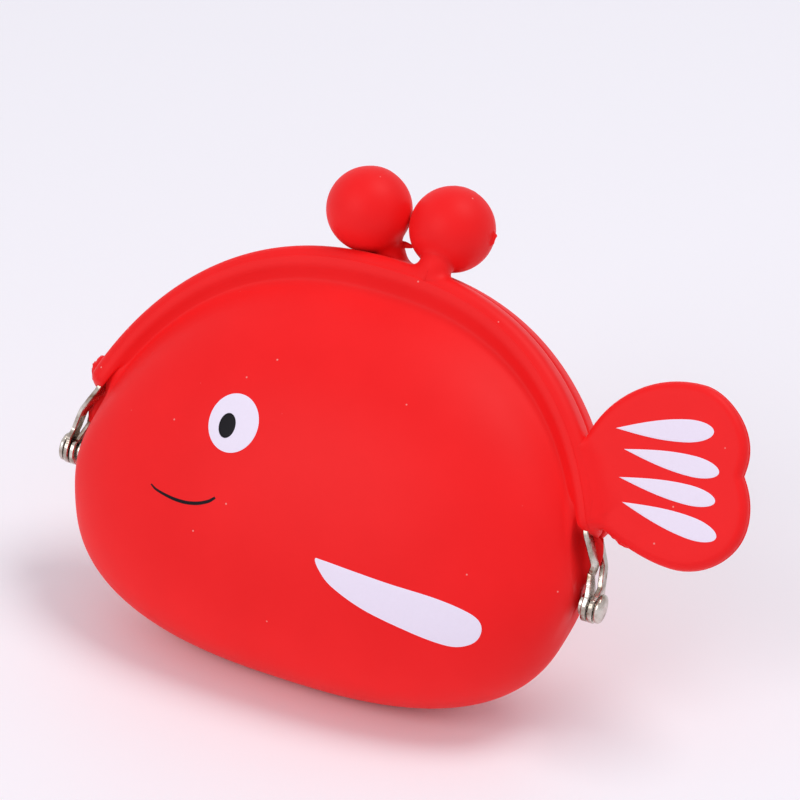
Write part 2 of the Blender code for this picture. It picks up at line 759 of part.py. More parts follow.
def tail_outline():
    """Outline of the fin in the X-Z plane, round the top, tip and foot and back up the sleeve."""
    root, _ = arch_point(arch_angle(TAIL_ROOT_BOTTOM), -GAP)
    top_angle = arch_angle(TAIL_ROOT_TOP)
    origin = Vector((root.x, 0.0, TAIL_BOTTOM))

    def place(shares):
        return origin + Vector((shares[0] * TAIL_LENGTH, 0.0, shares[1] * TAIL_HEIGHT))

    start, _ = arch_point(top_angle, -GAP)
    points = [start]
    rows = [[place(shares) for shares in row] for row in TAIL_OUTLINE_SHARES]
    rows.append([place(shares) for shares in TAIL_FOOT_SHARES] + [root])
    for first, second, reached in rows:
        for step in range(1, TAIL_CURVE_STEPS + 1):
            points.append(bezier(start, first, second, reached, step / TAIL_CURVE_STEPS))
        start = reached
    foot_angle = arch_angle(TAIL_ROOT_BOTTOM)
    for step in range(1, TAIL_ROOT_STEPS):
        points.append(arch_point(blend(foot_angle, top_angle, step / TAIL_ROOT_STEPS), -GAP)[0])
    return points


def make_tail(name, parent):
    """Flat fin with a rounded edge, moulded to the front sleeve."""
    front = -SLEEVE_DEPTH + TAIL_SETBACK
    outline = tail_outline()
    bm = bmesh.new()
    sides = []
    for y in (front, front + TAIL_THICKNESS):
        verts = [bm.verts.new(point + Vector((0.0, y, 0.0))) for point in outline]
        bm.faces.new(verts)
        sides.append(verts)
    count = len(outline)
    for index in range(count):
        after = (index + 1) % count
        bm.faces.new((sides[0][index], sides[0][after], sides[1][after], sides[1][index]))
    bmesh.ops.recalc_face_normals(bm, faces=bm.faces)
    free_edges = count - TAIL_ROOT_STEPS
    rim = []
    for verts in sides:
        for index in range(free_edges):
            rim.append(bm.edges.get((verts[index], verts[index + 1])))
    bmesh.ops.bevel(
        bm, geom=rim, offset=TAIL_EDGE_RADIUS, segments=TAIL_EDGE_SEGMENTS, profile=0.5, affect="EDGES")
    return finish_mesh(bm, name, parent, silicone(name))


def make_half(side, parent, knob_x):
    """One sprung arch with its sleeve, ball and post. The rear half is the front one turned about Z."""
    post_room = make_post_room(side + "_post_room", parent, knob_x)
    tenon_room = make_tenon_room(side + "_tenon_room", parent, knob_x)
    rivet_room = make_rivet_room(side + "_rivet_room", parent)
    make_sleeve(side + "_rim_sleeve", parent, post_room)
    make_ball_cover(side + "_ball_cover", parent, knob_x, post_room)
    make_steel_arch(side + "_steel_arch", parent, rivet_room, tenon_room)
    make_post(side + "_knob_post", parent, knob_x)


def main():
    clear_scene()
    rest = rest_point()
    purse = make_empty("purse_frame")
    purse.rotation_euler = (-LEAN, 0.0, 0.0)
    purse.location = -(Matrix.Rotation(-LEAN, 3, "X") @ rest)
    rear_hinge = make_empty("rear_hinge", purse)
    rear_hinge.rotation_euler = (0.0, 0.0, math.pi)
    make_half("front", purse, FRONT_KNOB_X)
    make_half("rear", rear_hinge, REAR_KNOB_X)
    make_belly("pouch_belly", purse, rest)
    make_rear_wall("pouch_rear_wall", purse, rest)
    make_tail("tail_fin", purse)
    make_rivet("hinge_rivet_right", purse, 1)
    make_rivet("hinge_rivet_left", purse, -1)


main()
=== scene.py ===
import json
import math

import bmesh
import bpy
from mathutils import Matrix, Vector, noise
from mathutils.bvhtree import BVHTree


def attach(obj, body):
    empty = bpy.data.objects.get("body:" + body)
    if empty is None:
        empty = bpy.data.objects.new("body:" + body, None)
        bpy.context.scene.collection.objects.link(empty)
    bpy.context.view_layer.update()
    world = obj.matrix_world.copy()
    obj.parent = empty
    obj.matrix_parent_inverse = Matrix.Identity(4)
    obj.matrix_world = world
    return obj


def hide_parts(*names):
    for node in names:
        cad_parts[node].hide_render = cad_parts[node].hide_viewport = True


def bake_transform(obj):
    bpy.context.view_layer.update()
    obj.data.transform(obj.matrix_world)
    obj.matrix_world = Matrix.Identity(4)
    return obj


# The fish-shaped silicone coin purse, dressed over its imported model.
# Everything is made in the purse frame: the origin is on the hinge line, X runs to the tail,
# -Y is the side with the face and Z is up in the plane of the arches. It leans back in the world.

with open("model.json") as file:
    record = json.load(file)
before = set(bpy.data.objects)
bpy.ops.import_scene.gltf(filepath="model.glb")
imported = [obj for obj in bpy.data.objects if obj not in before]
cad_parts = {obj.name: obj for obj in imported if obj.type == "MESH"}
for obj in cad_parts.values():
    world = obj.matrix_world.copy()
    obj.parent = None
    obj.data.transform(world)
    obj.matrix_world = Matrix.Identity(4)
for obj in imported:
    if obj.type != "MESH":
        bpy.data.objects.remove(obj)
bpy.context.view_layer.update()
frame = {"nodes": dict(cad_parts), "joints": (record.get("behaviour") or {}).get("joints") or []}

HINGE = Vector(frame["joints"][0]["pos_m"])
LEAN = math.radians(28)
PURSE = Matrix.Translation(HINGE) @ Matrix.Rotation(-LEAN, 4, "X")
WORLD_UP = Vector((0.0, -math.sin(LEAN), math.cos(LEAN)))
MM = 0.001

# Rim
ARCH_HALF_WIDTH = 55.1 * MM
ARCH_TOP = 48.5 * MM
ARCH_BASE = -21.3 * MM
ARCH_FULLNESS = 2.31
SLEEVE_HEIGHT = 5.5 * MM
SLEEVE_DEPTH = 6.0 * MM
SLEEVE_END_LEVEL = 13.3 * MM
SLEEVE_END_NARROWING = 0.82
CREST_RADIUS = 2.2 * MM
MOUTH_EDGE_RADIUS = 0.8 * MM
LIP_RADIUS = 1.6 * MM
BAND_CROWN = 0.22 * MM
MOUTH_GAP = 0.15 * MM
SLEEVE_END_LENGTH = 2.0 * MM

# Belly
BELLY_HALF_WIDTH = ARCH_HALF_WIDTH - 7.2 * MM
BELLY_HALF_DEPTH = 19.0 * MM
BELLY_BOTTOM = -28.2 * MM
BELLY_FULLNESS = 2.55
BELLY_DEPTH_FULLNESS = 2.0
BELLY_SIDE_SWELL = 3.0 * MM
SWELL_END_SHARE = 0.42
BELLY_WIDEST_LEVEL = 7.1 * MM
BELLY_END_LEVEL = -0.5 * MM
MOUTH_SEAT_INSET = 0.4 * MM
GROOVE_SHARE = 0.13
SHOULDER_SHARE = 0.70
CHEEK_SHARE = 0.577
KEEL_SHARE = 0.762
ROUND_END_SHARE = 0.75
SLIT_START_SHARE = 0.786
SLIT_END_SHARE = 0.859
LAST_COLUMN_SHARE = 0.985
GUSSET_BULGE = 1.0 * MM
GUSSET_END_SHARE = 0.97
GUSSET_HALF_WIDTH = 2.2 * MM
FOLD_BULGE = 3.2 * MM
FOLD_HALF_WIDTH = 0.6 * MM
FOLD_START_SHARE = 0.776
FOLD_END_SHARE = 0.938
GROOVE_DEPTH = 0.55 * MM
GROOVE_WIDTH = 2.8 * MM
WALL = 2.0 * MM
SEAM_LAP = 0.25 * MM
WALL_THIN = 0.7 * MM
WALL_END_SHARE = 0.4
TIP_START_SHARE = 0.90
REST_FLAT_DEPTH = 0.8 * MM

# Balls
BALL_RADIUS = 7.65 * MM
BALL_X = 7.65 * MM
BALL_Y = 1.0 * MM
BALL_RISE = {-1: 7.6 * MM, 1: 7.2 * MM}
FRONT_KNOB_X = 7.5 * MM
REAR_KNOB_X = 2.8 * MM

# Tail
TAIL_THICKNESS = 4.0 * MM
TAIL_EDGE_RADIUS = 1.5 * MM
TAIL_RIDGE = 0.10 * MM
TAIL_SETBACK = 1.4 * MM
TAIL_MIDDLE = TAIL_SETBACK + TAIL_THICKNESS / 2 - SLEEVE_DEPTH
TAIL_LENGTH = 25.0 * MM
TAIL_HEIGHT = 31.4 * MM
TAIL_BOTTOM = 10.3 * MM
TAIL_ROOT_TOP = 27.7 * MM
TAIL_ROOT_BOTTOM = 13.4 * MM
TAIL_OUTLINE_SHARES = (
    ((-0.22, 0.81), (0.06, 1.00), (0.42, 1.00)),
    ((0.58, 1.00), (0.81, 0.87), (0.845, 0.70)),
    ((0.853, 0.66), (0.850, 0.62), (0.845, 0.585)),
    ((0.885, 0.545), (0.965, 0.45), (0.965, 0.32)),
    ((0.965, 0.14), (0.76, 0.00), (0.53, 0.00)),
)
TAIL_BURIED = 2.2 * MM
TAIL_POINTS = 150
CURVE_STEPS = 16
TAIL_FOOT_SHARES = ((0.34, 0.00), (0.16, 0.05))

# Camera of the photograph, in the purse frame
CAMERA_DISTANCE = 650 * MM
CAMERA_FOCAL = 165.96
CAMERA_RIGHT = Vector((0.9007662, 0.34369374, 0.26550868))
CAMERA_UP = Vector((-0.26156502, -0.05871973, 0.96339801))
CAMERA_BACK = Vector((0.34670446, -0.93724416, 0.03700551))
CAMERA_ASIDE = 12.938 * MM
CAMERA_RAISED = 22.097 * MM
CAMERA_PLACE = CAMERA_BACK * CAMERA_DISTANCE + CAMERA_RIGHT * CAMERA_ASIDE + CAMERA_UP * CAMERA_RAISED
SENSOR = 36.0
IMAGE = 800


# Small helpers

def power(value, exponent):
    return math.copysign(abs(value) ** exponent, value)


def bezier(a, b, c, d, t):
    s = 1 - t
    return a * s ** 3 + b * 3 * s * s * t + c * 3 * s * t * t + d * t ** 3


def smooth(value):
    value = min(max(value, 0.0), 1.0)
    return value * value * (3 - 2 * value)


def mix(a, b, share):
    return a + (b - a) * share


def bump_at(value, width):
    return math.exp(-(value / width) ** 2)


def curve_through(points, steps, closed=False):
    """Smooth line through points, with a number of steps from each to the next."""
    around = [points[-1]] + points + points[:2] if closed else [points[0]] + points + [points[-1]]
    line = []
    for a, b, c, d in zip(around, around[1:], around[2:], around[3:]):
        for step in range(steps):
            t = step / steps
            line.append(0.5 * (
                (2 * b) + (c - a) * t + (2 * a - 5 * b + 4 * c - d) * t * t
                + (3 * b - a - 3 * c + d) * t ** 3))
    return line if closed else line + [points[-1]]


def step_past(points, index):
    """From the point before one of a line's points to the point after it."""
    return points[min(index + 1, len(points) - 1)] - points[max(index - 1, 0)]


def join_rings(bm, rings):
    """Faces between closed rings, one after the other. A ring of one point is a pole."""
    for here, there in zip(rings, rings[1:]):
        count = max(len(here), len(there))
        for index in range(count):
            after = (index + 1) % count
            if len(here) == 1:
                bm.faces.new((here[0], there[after], there[index]))
            elif len(there) == 1:
                bm.faces.new((here[index], here[after], there[0]))
            else:
                bm.faces.new((here[index], here[after], there[after], there[index]))


def make_tube(bm, rings):
    """Closed skin over rings, with a flat end at each side."""
    join_rings(bm, rings)
    bm.faces.new(rings[0])
    bm.faces.new(list(reversed(rings[-1])))


def add_object(name, data):
    thing = bpy.data.objects.new(name, data)
    bpy.context.scene.collection.objects.link(thing)
    return thing


def make_piece(name, bm, material, sharp_degrees=40):
    """Put a bmesh that was built in the purse frame into the world, smooth shaded."""
    bmesh.ops.recalc_face_normals(bm, faces=bm.faces)
    mesh = bpy.data.meshes.new(name)
    bm.to_mesh(mesh)
    bm.free()
    mesh.transform(PURSE)
    mesh.shade_smooth()
    mesh.set_sharp_from_angle(angle=math.radians(sharp_degrees))
    mesh.materials.append(material)
    return add_object(name, mesh)


def subdivide(piece, levels):
    """Round a control mesh off with subdivision and keep the result as plain mesh."""
    modifier = piece.modifiers.new("round_off", "SUBSURF")
    modifier.levels = levels
    modifier.render_levels = levels
    graph = bpy.context.evaluated_depsgraph_get()
    fine = bpy.data.meshes.new_from_object(piece.evaluated_get(graph))
    piece.modifiers.clear()
    piece.data = fine
    return piece


# Colours and materials

def srgb(hex_colour):
    """Linear colour of an sRGB hex value."""
    channels = []
    for start in (1, 3, 5):
        value = int(hex_colour[start:start + 2], 16) / 255
        channels.append(value / 12.92 if value <= 0.04045 else ((value + 0.055) / 1.055) ** 2.4)
    return (channels[0], channels[1], channels[2], 1.0)


def link_inputs(tree, node, links):
    """Link inputs of a node by name. A node given as the source stands for its first output."""
    for name, source in links.items():
        tree.links.new(source.outputs[0] if hasattr(source, "outputs") else source, node.inputs[name])


def add_node(tree, kind, settings=None, links=None):
    """Add one node, set its values and link its inputs."""
    node = tree.nodes.new(kind)
    for name, value in (settings or {}).items():
        if name in node.inputs:
            node.inputs[name].default_value = value
        else:
            setattr(node, name, value)
    link_inputs(tree, node, links or {})
    return node


def new_material(name, shader_settings):
    material = bpy.data.materials.new(name)
    material.use_nodes = True
    tree = material.node_tree
    shader = tree.nodes["Principled BSDF"]
    for socket, value in shader_settings.items():
        shader.inputs[socket].default_value = value
    place = add_node(tree, "ShaderNodeTexCoord")
    return material, tree, shader, place.outputs["Object"]


SPECK_SPACING = 5.0 * MM
SPECK_SIZE = 0.13 * MM
PINHOLE_SPACING = 3.4 * MM
PINHOLE_SIZE = 0.08 * MM
GRAIN = 0.45 * MM
MOTTLE = 18.0 * MM


def moulded_silicone():
    """Liquid silicone rubber, pigmented red and moulded against a fine blasted tool. The eye gets
    one deep even red with a satin sheen, a very fine grain and a few dust specks."""
    material, tree, shader, place = new_material("moulded_red_silicone", {
        "Roughness": 0.52,
        "IOR": 1.41,
        "Specular IOR Level": 0.26,
        "Subsurface Weight": 0.06,
        "Subsurface Radius": (1.0, 0.12, 0.08),
        "Subsurface Scale": 1.6 * MM,
        "Sheen Weight": 0.04,
        "Sheen Roughness": 0.45,
        "Sheen Tint": srgb("#FFC9C4"),
    })
    mottle = add_node(tree, "ShaderNodeTexNoise", {"Scale": 1 / MOTTLE, "Detail": 3.0}, {"Vector": place})
    depth = add_node(tree, "ShaderNodeMapRange", {"From Min": 0.3, "From Max": 0.7}, {"Value": mottle})
    red = add_node(
        tree, "ShaderNodeMixRGB", {"Color1": srgb("#F11618"), "Color2": srgb("#F71B1D")}, {"Fac": depth})
    specks = add_node(
        tree, "ShaderNodeTexVoronoi", {"Scale": 1 / SPECK_SPACING, "Randomness": 1.0}, {"Vector": place})
    speck = add_node(
        tree, "ShaderNodeMapRange",
        {"From Min": SPECK_SIZE / SPECK_SPACING, "From Max": 1.6 * SPECK_SIZE / SPECK_SPACING},
        {"Value": specks})
    colour = add_node(tree, "ShaderNodeMixRGB", {"Color1": srgb("#F28C86")}, {"Fac": speck, "Color2": red})
    grain = add_node(tree, "ShaderNodeTexNoise", {"Scale": 1 / GRAIN, "Detail": 4.0}, {"Vector": place})
    sheen = add_node(tree, "ShaderNodeMapRange", {"To Min": 0.48, "To Max": 0.56}, {"Value": grain})
    bump = add_node(tree, "ShaderNodeBump", {"Strength": 0.12, "Distance": 0.02 * MM}, {"Height": grain})
    link_inputs(tree, shader, {"Base Color": colour, "Normal": bump, "Roughness": sheen})
    return material


def printed_ink(name, base, pinhole, roughness):
    """Pad-printed silicone ink: a thin even film, a little glossier than the rubber, with pinholes."""
    material, tree, shader, place = new_material(name, {
        "Roughness": roughness,
        "Specular IOR Level": 0.12,
    })
    holes = add_node(
        tree, "ShaderNodeTexVoronoi", {"Scale": 1 / PINHOLE_SPACING, "Randomness": 1.0}, {"Vector": place})
    hole = add_node(
        tree, "ShaderNodeMapRange",
        {"From Min": PINHOLE_SIZE / PINHOLE_SPACING, "From Max": 1.7 * PINHOLE_SIZE / PINHOLE_SPACING},
        {"Value": holes})
    film = add_node(tree, "ShaderNodeTexNoise", {"Scale": 1 / GRAIN, "Detail": 2.0}, {"Vector": place})
    tone = add_node(tree, "ShaderNodeMapRange", {"To Min": 0.96, "To Max": 1.0}, {"Value": film})
    ink = add_node(tree, "ShaderNodeHueSaturation", {"Color": base}, {"Value": tone})
    colour = add_node(tree, "ShaderNodeMixRGB", {"Color1": pinhole}, {"Fac": hole, "Color2": ink})
    bump = add_node(tree, "ShaderNodeBump", {"Strength": 0.15, "Distance": 0.01 * MM}, {"Height": film})
    link_inputs(tree, shader, {"Base Color": colour, "Normal": bump})
    return material


STAIN_SIZE = 2.6 * MM
WEAR_SIZE = 0.7 * MM


def nickel_plated_steel(name, bright, dull):
    """Stamped spring steel with thin nickel plating: grey with a warm cast, stained and pitted."""
    material, tree, shader, place = new_material(name, {
        "Metallic": 1.0,
        "Roughness": 0.3,
    })
    stain = add_node(tree, "ShaderNodeTexNoise", {"Scale": 1 / STAIN_SIZE, "Detail": 5.0}, {"Vector": place})
    dulled = add_node(tree, "ShaderNodeMapRange", {"From Min": 0.40, "From Max": 0.56}, {"Value": stain})
    plating = add_node(tree, "ShaderNodeMixRGB", {"Color1": bright, "Color2": dull}, {"Fac": dulled})
    rusted = add_node(tree, "ShaderNodeMapRange", {"From Min": 0.58, "From Max": 0.68}, {"Value": stain})
    colour = add_node(
        tree, "ShaderNodeMixRGB", {"Color2": srgb("#7A6048")}, {"Fac": rusted, "Color1": plating})
    wear = add_node(tree, "ShaderNodeTexNoise", {"Scale": 1 / WEAR_SIZE, "Detail": 4.0}, {"Vector": place})
    rough = add_node(tree, "ShaderNodeMapRange", {"To Min": 0.14, "To Max": 0.36}, {"Value": wear})
    bump = add_node(tree, "ShaderNodeBump", {"Strength": 0.6, "Distance": 0.05 * MM}, {"Height": wear})
    link_inputs(tree, shader, {"Base Color": colour, "Normal": bump, "Roughness": rough})
    return material


# The arch, and the belly that hangs from it

def arch_angle(level):
    rise = ARCH_TOP - ARCH_BASE
    return math.asin(((level - ARCH_BASE) / rise) ** (ARCH_FULLNESS / 2))


def arch_point(angle, inset=0.0):
    """Point of the rim's outer line and its outward direction. The angle runs from the right-hand end."""
    half = ARCH_HALF_WIDTH
    rise = ARCH_TOP - ARCH_BASE
    x = half * power(math.cos(angle), 2 / ARCH_FULLNESS)
    z = rise * power(math.sin(angle), 2 / ARCH_FULLNESS)
    out = Vector((
        power(x / half, ARCH_FULLNESS - 1) / half,
        0.0,
        power(z / rise, ARCH_FULLNESS - 1) / rise,
    )).normalized()
    return Vector((x, 0.0, ARCH_BASE + z)) - out * inset, out


END_ANGLE = arch_angle(BELLY_END_LEVEL)
SLEEVE_END_SHARE = 1 - (arch_angle(SLEEVE_END_LEVEL) - END_ANGLE) / (math.pi / 2 - END_ANGLE)


def turn_angle(turn):
    """Angle along the arch at a turn of the belly, which runs from -90 degrees at the left to 90."""
    return math.pi / 2 - turn * (1 - END_ANGLE / (math.pi / 2))


def reach_at(turn):
    """0 at the middle of the arch and 1 at either end of the belly."""
    return abs(turn) / (math.pi / 2)


def mouth_opening(turn):
    """1 along the sleeve, falling to 0 where the front and rear walls meet."""
    return smooth((SLIT_END_SHARE - reach_at(turn)) / (SLIT_END_SHARE - SLIT_START_SHARE))


def swelling(reach, start, end):
    """0 outside two places along the arch and up to 1 midway between them."""
    share = min(max((reach - start) / (end - start), 0.0), 1.0)
    return math.sin(math.pi * share) ** 0.7


def gusset(reach, aside):
    """How far the corner of the mouth swells out beyond the sleeve's end, with a fold between the legs."""
    broad = GUSSET_BULGE * swelling(reach, SLIT_START_SHARE, GUSSET_END_SHARE)
    fold = FOLD_BULGE * swelling(reach, FOLD_START_SHARE, FOLD_END_SHARE)
    return broad * bump_at(aside, GUSSET_HALF_WIDTH) + fold * bump_at(aside, FOLD_HALF_WIDTH)


def sleeve_height(turn):
    """Width of the band, which narrows from the top of the arch to its ends."""
    return SLEEVE_HEIGHT * mix(1.0, SLEEVE_END_NARROWING, smooth(reach_at(turn) / SLEEVE_END_SHARE))


def mouth_point(turn):
    point, _ = arch_point(turn_angle(turn), sleeve_height(turn) + 2 * MOUTH_GAP)
    point.y = (SLEEVE_DEPTH - MOUTH_SEAT_INSET) * mouth_opening(turn)
    return point


def seam_point(turn):
    x = BELLY_HALF_WIDTH * power(math.sin(turn), 2 / BELLY_FULLNESS)
    drop = BELLY_END_LEVEL - BELLY_BOTTOM
    return Vector((x, 0.0, BELLY_END_LEVEL - drop * max(math.cos(turn), 0.0) ** (2 / BELLY_FULLNESS)))


def belly_section(turn, row):
    """Half depth and level of the wall. Row 0 is the mouth, 1 the widest level and 2 the seam, where the
    skin runs on a little so that no gap shows inside."""
    mouth = mouth_point(turn)
    seam = seam_point(turn)
    opening = mouth_opening(turn)
    depth = max(BELLY_HALF_DEPTH * max(math.cos(turn), 0.0) ** (2 / BELLY_DEPTH_FULLNESS), mouth.y)
    widest = mix(BELLY_END_LEVEL, BELLY_WIDEST_LEVEL, math.cos(turn))
    if row <= 1:
        height = mouth.z - widest
        handle = mouth.y + depth * ROUND_END_SHARE * (1 - opening)
        y = bezier(mouth.y, handle, depth, depth, row)
        z = bezier(
            mouth.z, mouth.z - height * GROOVE_SHARE * opening, widest + height * SHOULDER_SHARE, widest, row)
        return y, z
    fall = widest - seam.z
    y = bezier(depth, depth, depth * KEEL_SHARE, -SEAM_LAP, row - 1)
    z = bezier(widest, widest - fall * CHEEK_SHARE, seam.z, seam.z, row - 1)
    return y, z


def rest_level():
    """How low, along the world's up, the flat lies that the purse stands on."""
    heights = []
    for step in range(401):
        y, z = belly_section(0.0, 1 + step / 400)
        heights.append(Vector((0.0, y, z)).dot(WORLD_UP))
    return min(heights) + REST_FLAT_DEPTH


REST_LEVEL = rest_level()


def belly_point(turn, row, side):
    """Outside of the belly: side is -1 in front and 1 behind."""
    mouth = mouth_point(turn)
    seam = seam_point(turn)
    y, z = belly_section(turn, row)
    share = min(max((mouth.z - z) / max(mouth.z - seam.z, 0.2 * MM), 0.0), 1.0)
    swell = BELLY_SIDE_SWELL * 16 * (share * (1 - share)) ** 2 * (seam.x / BELLY_HALF_WIDTH) ** 2
    swell = swell * smooth(math.cos(turn) / SWELL_END_SHARE)
    x = mix(mouth.x, seam.x, share) + math.copysign(swell, turn)
    folded = gusset(reach_at(turn), y - mouth.y) * smooth(1 - row)
    point = Vector((x + math.copysign(folded, turn), side * y, z))
    below = REST_LEVEL - point.dot(WORLD_UP)
    if below > 0:
        point = point + WORLD_UP * below
    return point


FINE_STEP = 0.0005


def belly_inside(turn, row, side):
    """The point of the wall's inside behind a point of its outside."""
    along = belly_point(turn + FINE_STEP, row, side) - belly_point(turn - FINE_STEP, row, side)
    down = belly_point(turn, min(row + FINE_STEP, 2.0), side)
    down = down - belly_point(turn, max(row - FINE_STEP, 0.0), side)
    inward = along.cross(down).normalized() * -side
    sideways = Vector((-math.copysign(1.0, turn), 0.0, 0.0))
    inward = mix(inward, sideways, smooth((reach_at(turn) - TIP_START_SHARE) / 0.06)).normalized()
    thickness = mix(WALL_THIN, WALL, smooth(math.cos(turn) / WALL_END_SHARE))
    return belly_point(turn, row, side) + inward * thickness


def groove(point, turn, side):
    """The wall is drawn in under the band, in one broad soft hollow."""
    arch, out = arch_point(turn_angle(turn))
    outward = (point - arch).dot(out)
    opening = mouth_opening(turn)
    depth = GROOVE_DEPTH * bump_at(outward + sleeve_height(turn) + GROOVE_WIDTH / 2, GROOVE_WIDTH) * opening
    return point - Vector((0.0, side * depth, 0.0))


def corner(centre, radius, start, steps):
    """Quarter circle of points, anticlockwise from a start angle in degrees."""
    points = []
    for step in range(steps + 1):
        turn = math.radians(start + 90 * step / steps)
        points.append((centre[0] + radius * math.cos(turn), centre[1] + radius * math.sin(turn)))
    return points


def band_section():
    """The sleeve's section as (distance back from its face, distance outward), from the groove over
    the face and the crest to the mouth and back under to the wall."""
    depth = SLEEVE_DEPTH - MOUTH_GAP
    crest, edge, lip = CREST_RADIUS, MOUTH_EDGE_RADIUS, LIP_RADIUS
    face = [(lip * 0.30, lip * 0.30 - SLEEVE_HEIGHT), (lip * 0.06, lip * 0.75 - SLEEVE_HEIGHT)]
    middle = -SLEEVE_HEIGHT / 2
    for share in (0.34, 0.52, 0.66):
        outward = -SLEEVE_HEIGHT + share * SLEEVE_HEIGHT
        bulge = 1 - ((outward - middle) / middle) ** 2
        face.append((-BAND_CROWN * bulge, outward))
    top = list(reversed(corner((crest, -crest), crest, 90, 4)))
    mouth = list(reversed(corner((depth - edge, -edge), edge, 0, 2)))
    foot = list(reversed(corner((depth - edge, edge - SLEEVE_HEIGHT), edge, 270, 2)))
    under = [(depth * 0.62, -SLEEVE_HEIGHT)]
    return face + top + mouth + [(depth, middle)] + foot + under


def sleeve_size(turn):
    """1 along the sleeve and rounding off to 0 at its two ends."""
    arch_length = (ARCH_HALF_WIDTH + ARCH_TOP) * (reach_at(turn) - SLEEVE_END_SHARE)
    past = 1 + arch_length / SLEEVE_END_LENGTH
    if past <= 0:
        return 1.0
    if past >= 1:
        return 0.0
    return math.sqrt(1 - past * past)


UPPER_ROWS = [0.012, 0.04, 0.075, 0.12, 0.175, 0.24, 0.31, 0.39, 0.47, 0.55, 0.64, 0.73, 0.82, 0.91]
LOWER_ROWS = [1.0, 1.08, 1.17, 1.26, 1.36, 1.46, 1.56, 1.66, 1.76, 1.86, 1.94, 1.985, 2.0]
INSIDE_ROWS = [0.0, 0.03, 0.10, 0.2, 0.35, 0.5, 0.65, 0.82, 1.0, 1.2, 1.4, 1.6, 1.8, 1.95, 2.0]


def moulding_column(turn, side):
    """One closed section of the moulding: up the outside, over the band and down the inside."""
    column = []
    for row in reversed(UPPER_ROWS + LOWER_ROWS):
        column.append(groove(belly_point(turn, row, side), turn, side))
    arch, out = arch_point(turn_angle(turn))
    size = sleeve_size(turn)
    outer_top = groove(belly_point(turn, 0.0, side), turn, side)
    inner_top = belly_inside(turn, 0.0, side)
    section = band_section()
    narrowing = (sleeve_height(turn) - CREST_RADIUS) / (SLEEVE_HEIGHT - CREST_RADIUS)
    for index, (back, outward) in enumerate(section):
        if outward < -CREST_RADIUS:
            outward = -CREST_RADIUS + (outward + CREST_RADIUS) * narrowing
        full = arch + out * outward + Vector((0.0, side * (SLEEVE_DEPTH - back), 0.0))
        share = (index + 1) / (len(section) + 1)
        lip = mix(outer_top, inner_top, share)
        rise = math.sin(math.pi * share) * (outer_top - inner_top).length / 2
        lip = lip + out * rise * mouth_opening(turn)
        column.append(mix(lip, full, size))
    for row in INSIDE_ROWS:
        column.append(belly_inside(turn, row, side))
    return column


def moulding_turns():
    """Turns of the columns, closer together at the sleeve's ends and the belly's ends."""
    quarter = math.pi / 2
    sleeve_end = SLEEVE_END_SHARE
    step = SLEEVE_END_LENGTH / (ARCH_HALF_WIDTH + ARCH_TOP)
    count = 26
    shares = [(sleeve_end - step) * index / count for index in range(count + 1)]
    shares += [sleeve_end - step * rest for rest in (0.6, 0.3, 0.1, 0.01, 0.0)]
    shares += [mix(sleeve_end, SLIT_END_SHARE, index / 5) for index in range(1, 6)]
    shares += [mix(SLIT_END_SHARE, LAST_COLUMN_SHARE, index / 7) for index in range(1, 8)]
    right = [share * quarter for share in shares]
    return [-turn for turn in reversed(right[1:])] + right


def make_moulding(name, side, material):
    """Band and wall of one side of the purse, as one closed skin."""
    bm = bmesh.new()
    grid = [[bm.verts.new(point) for point in moulding_column(turn, side)] for turn in moulding_turns()]
    join_rings(bm, grid)
    for column, sign in ((grid[0], -1), (grid[-1], 1)):
        tip = bm.verts.new(Vector((sign * BELLY_HALF_WIDTH, 0.0, BELLY_END_LEVEL)))
        for row in range(len(column) - 1):
            bm.faces.new((tip, column[row], column[row + 1]))
        bm.faces.new((tip, column[-1], column[0]))
    return subdivide(make_piece(name, bm, material), 2)


# Balls on their necks

def ball_centre(side):
    """The front ball is right of the middle, the rear one left of it, each leaning over the mouth."""
    return Vector((-side * BALL_X, -side * BALL_Y, ARCH_TOP + BALL_RISE[side]))


def neck_angle(side, knob_x):
    """Arch angle at which the neck grows out of the band."""
    low, high = 0.0, math.pi / 2
    for _ in range(40):
        middle = (low + high) / 2
        if arch_point(middle, SLEEVE_HEIGHT / 2)[0].x > knob_x:
            low = middle
        else:
            high = middle
    return low if side < 0 else math.pi - low


def band_surface(angle, reach, side):
    """Point of the band's skin at an arch angle and a length along its section. The length is
    zero on top of the crest's middle, negative over the face and positive over the mouth."""
    depth = SLEEVE_DEPTH - MOUTH_GAP
    crest, edge = CREST_RADIUS, MOUTH_EDGE_RADIUS
    arch, out = arch_point(angle)
    flat_front = depth / 2 - crest
    flat_back = depth / 2 - edge
    if reach < -flat_front:
        past = -flat_front - reach
        turn = past / crest
        if turn < math.pi / 2:
            back, outward = crest - crest * math.sin(turn), crest * (math.cos(turn) - 1)
        else:
            below = past - crest * math.pi / 2
            back, outward = -BAND_CROWN * smooth(below / crest), -crest - below
    elif reach > flat_back:
        past = reach - flat_back
        turn = past / edge
        if turn < math.pi / 2:
            back = depth - edge + edge * math.sin(turn)
            outward = edge * (math.cos(turn) - 1)
        else:
            back, outward = depth, -edge - (past - edge * math.pi / 2)
    else:
        back, outward = depth / 2 + reach, 0.0
    return arch + out * outward + Vector((0.0, side * (SLEEVE_DEPTH - back), 0.0))


NECK_SPREAD = 4.3 * MM
NECK_DEPTH_SPREAD = 3.7 * MM
NECK_WAIST = 3.0 * MM
NECK_WAIST_RISE = 1.2 * MM
BALL_JOIN_TIGHT = math.radians(29)
BALL_JOIN_FULL = math.radians(47)
NECK_SIDES = 96
NECK_STEPS = 12
FLARE_STEPS = 10
BALL_STEPS = 36
FLASH_HEIGHT = 0.07 * MM
FLASH_WIDTH = 0.035


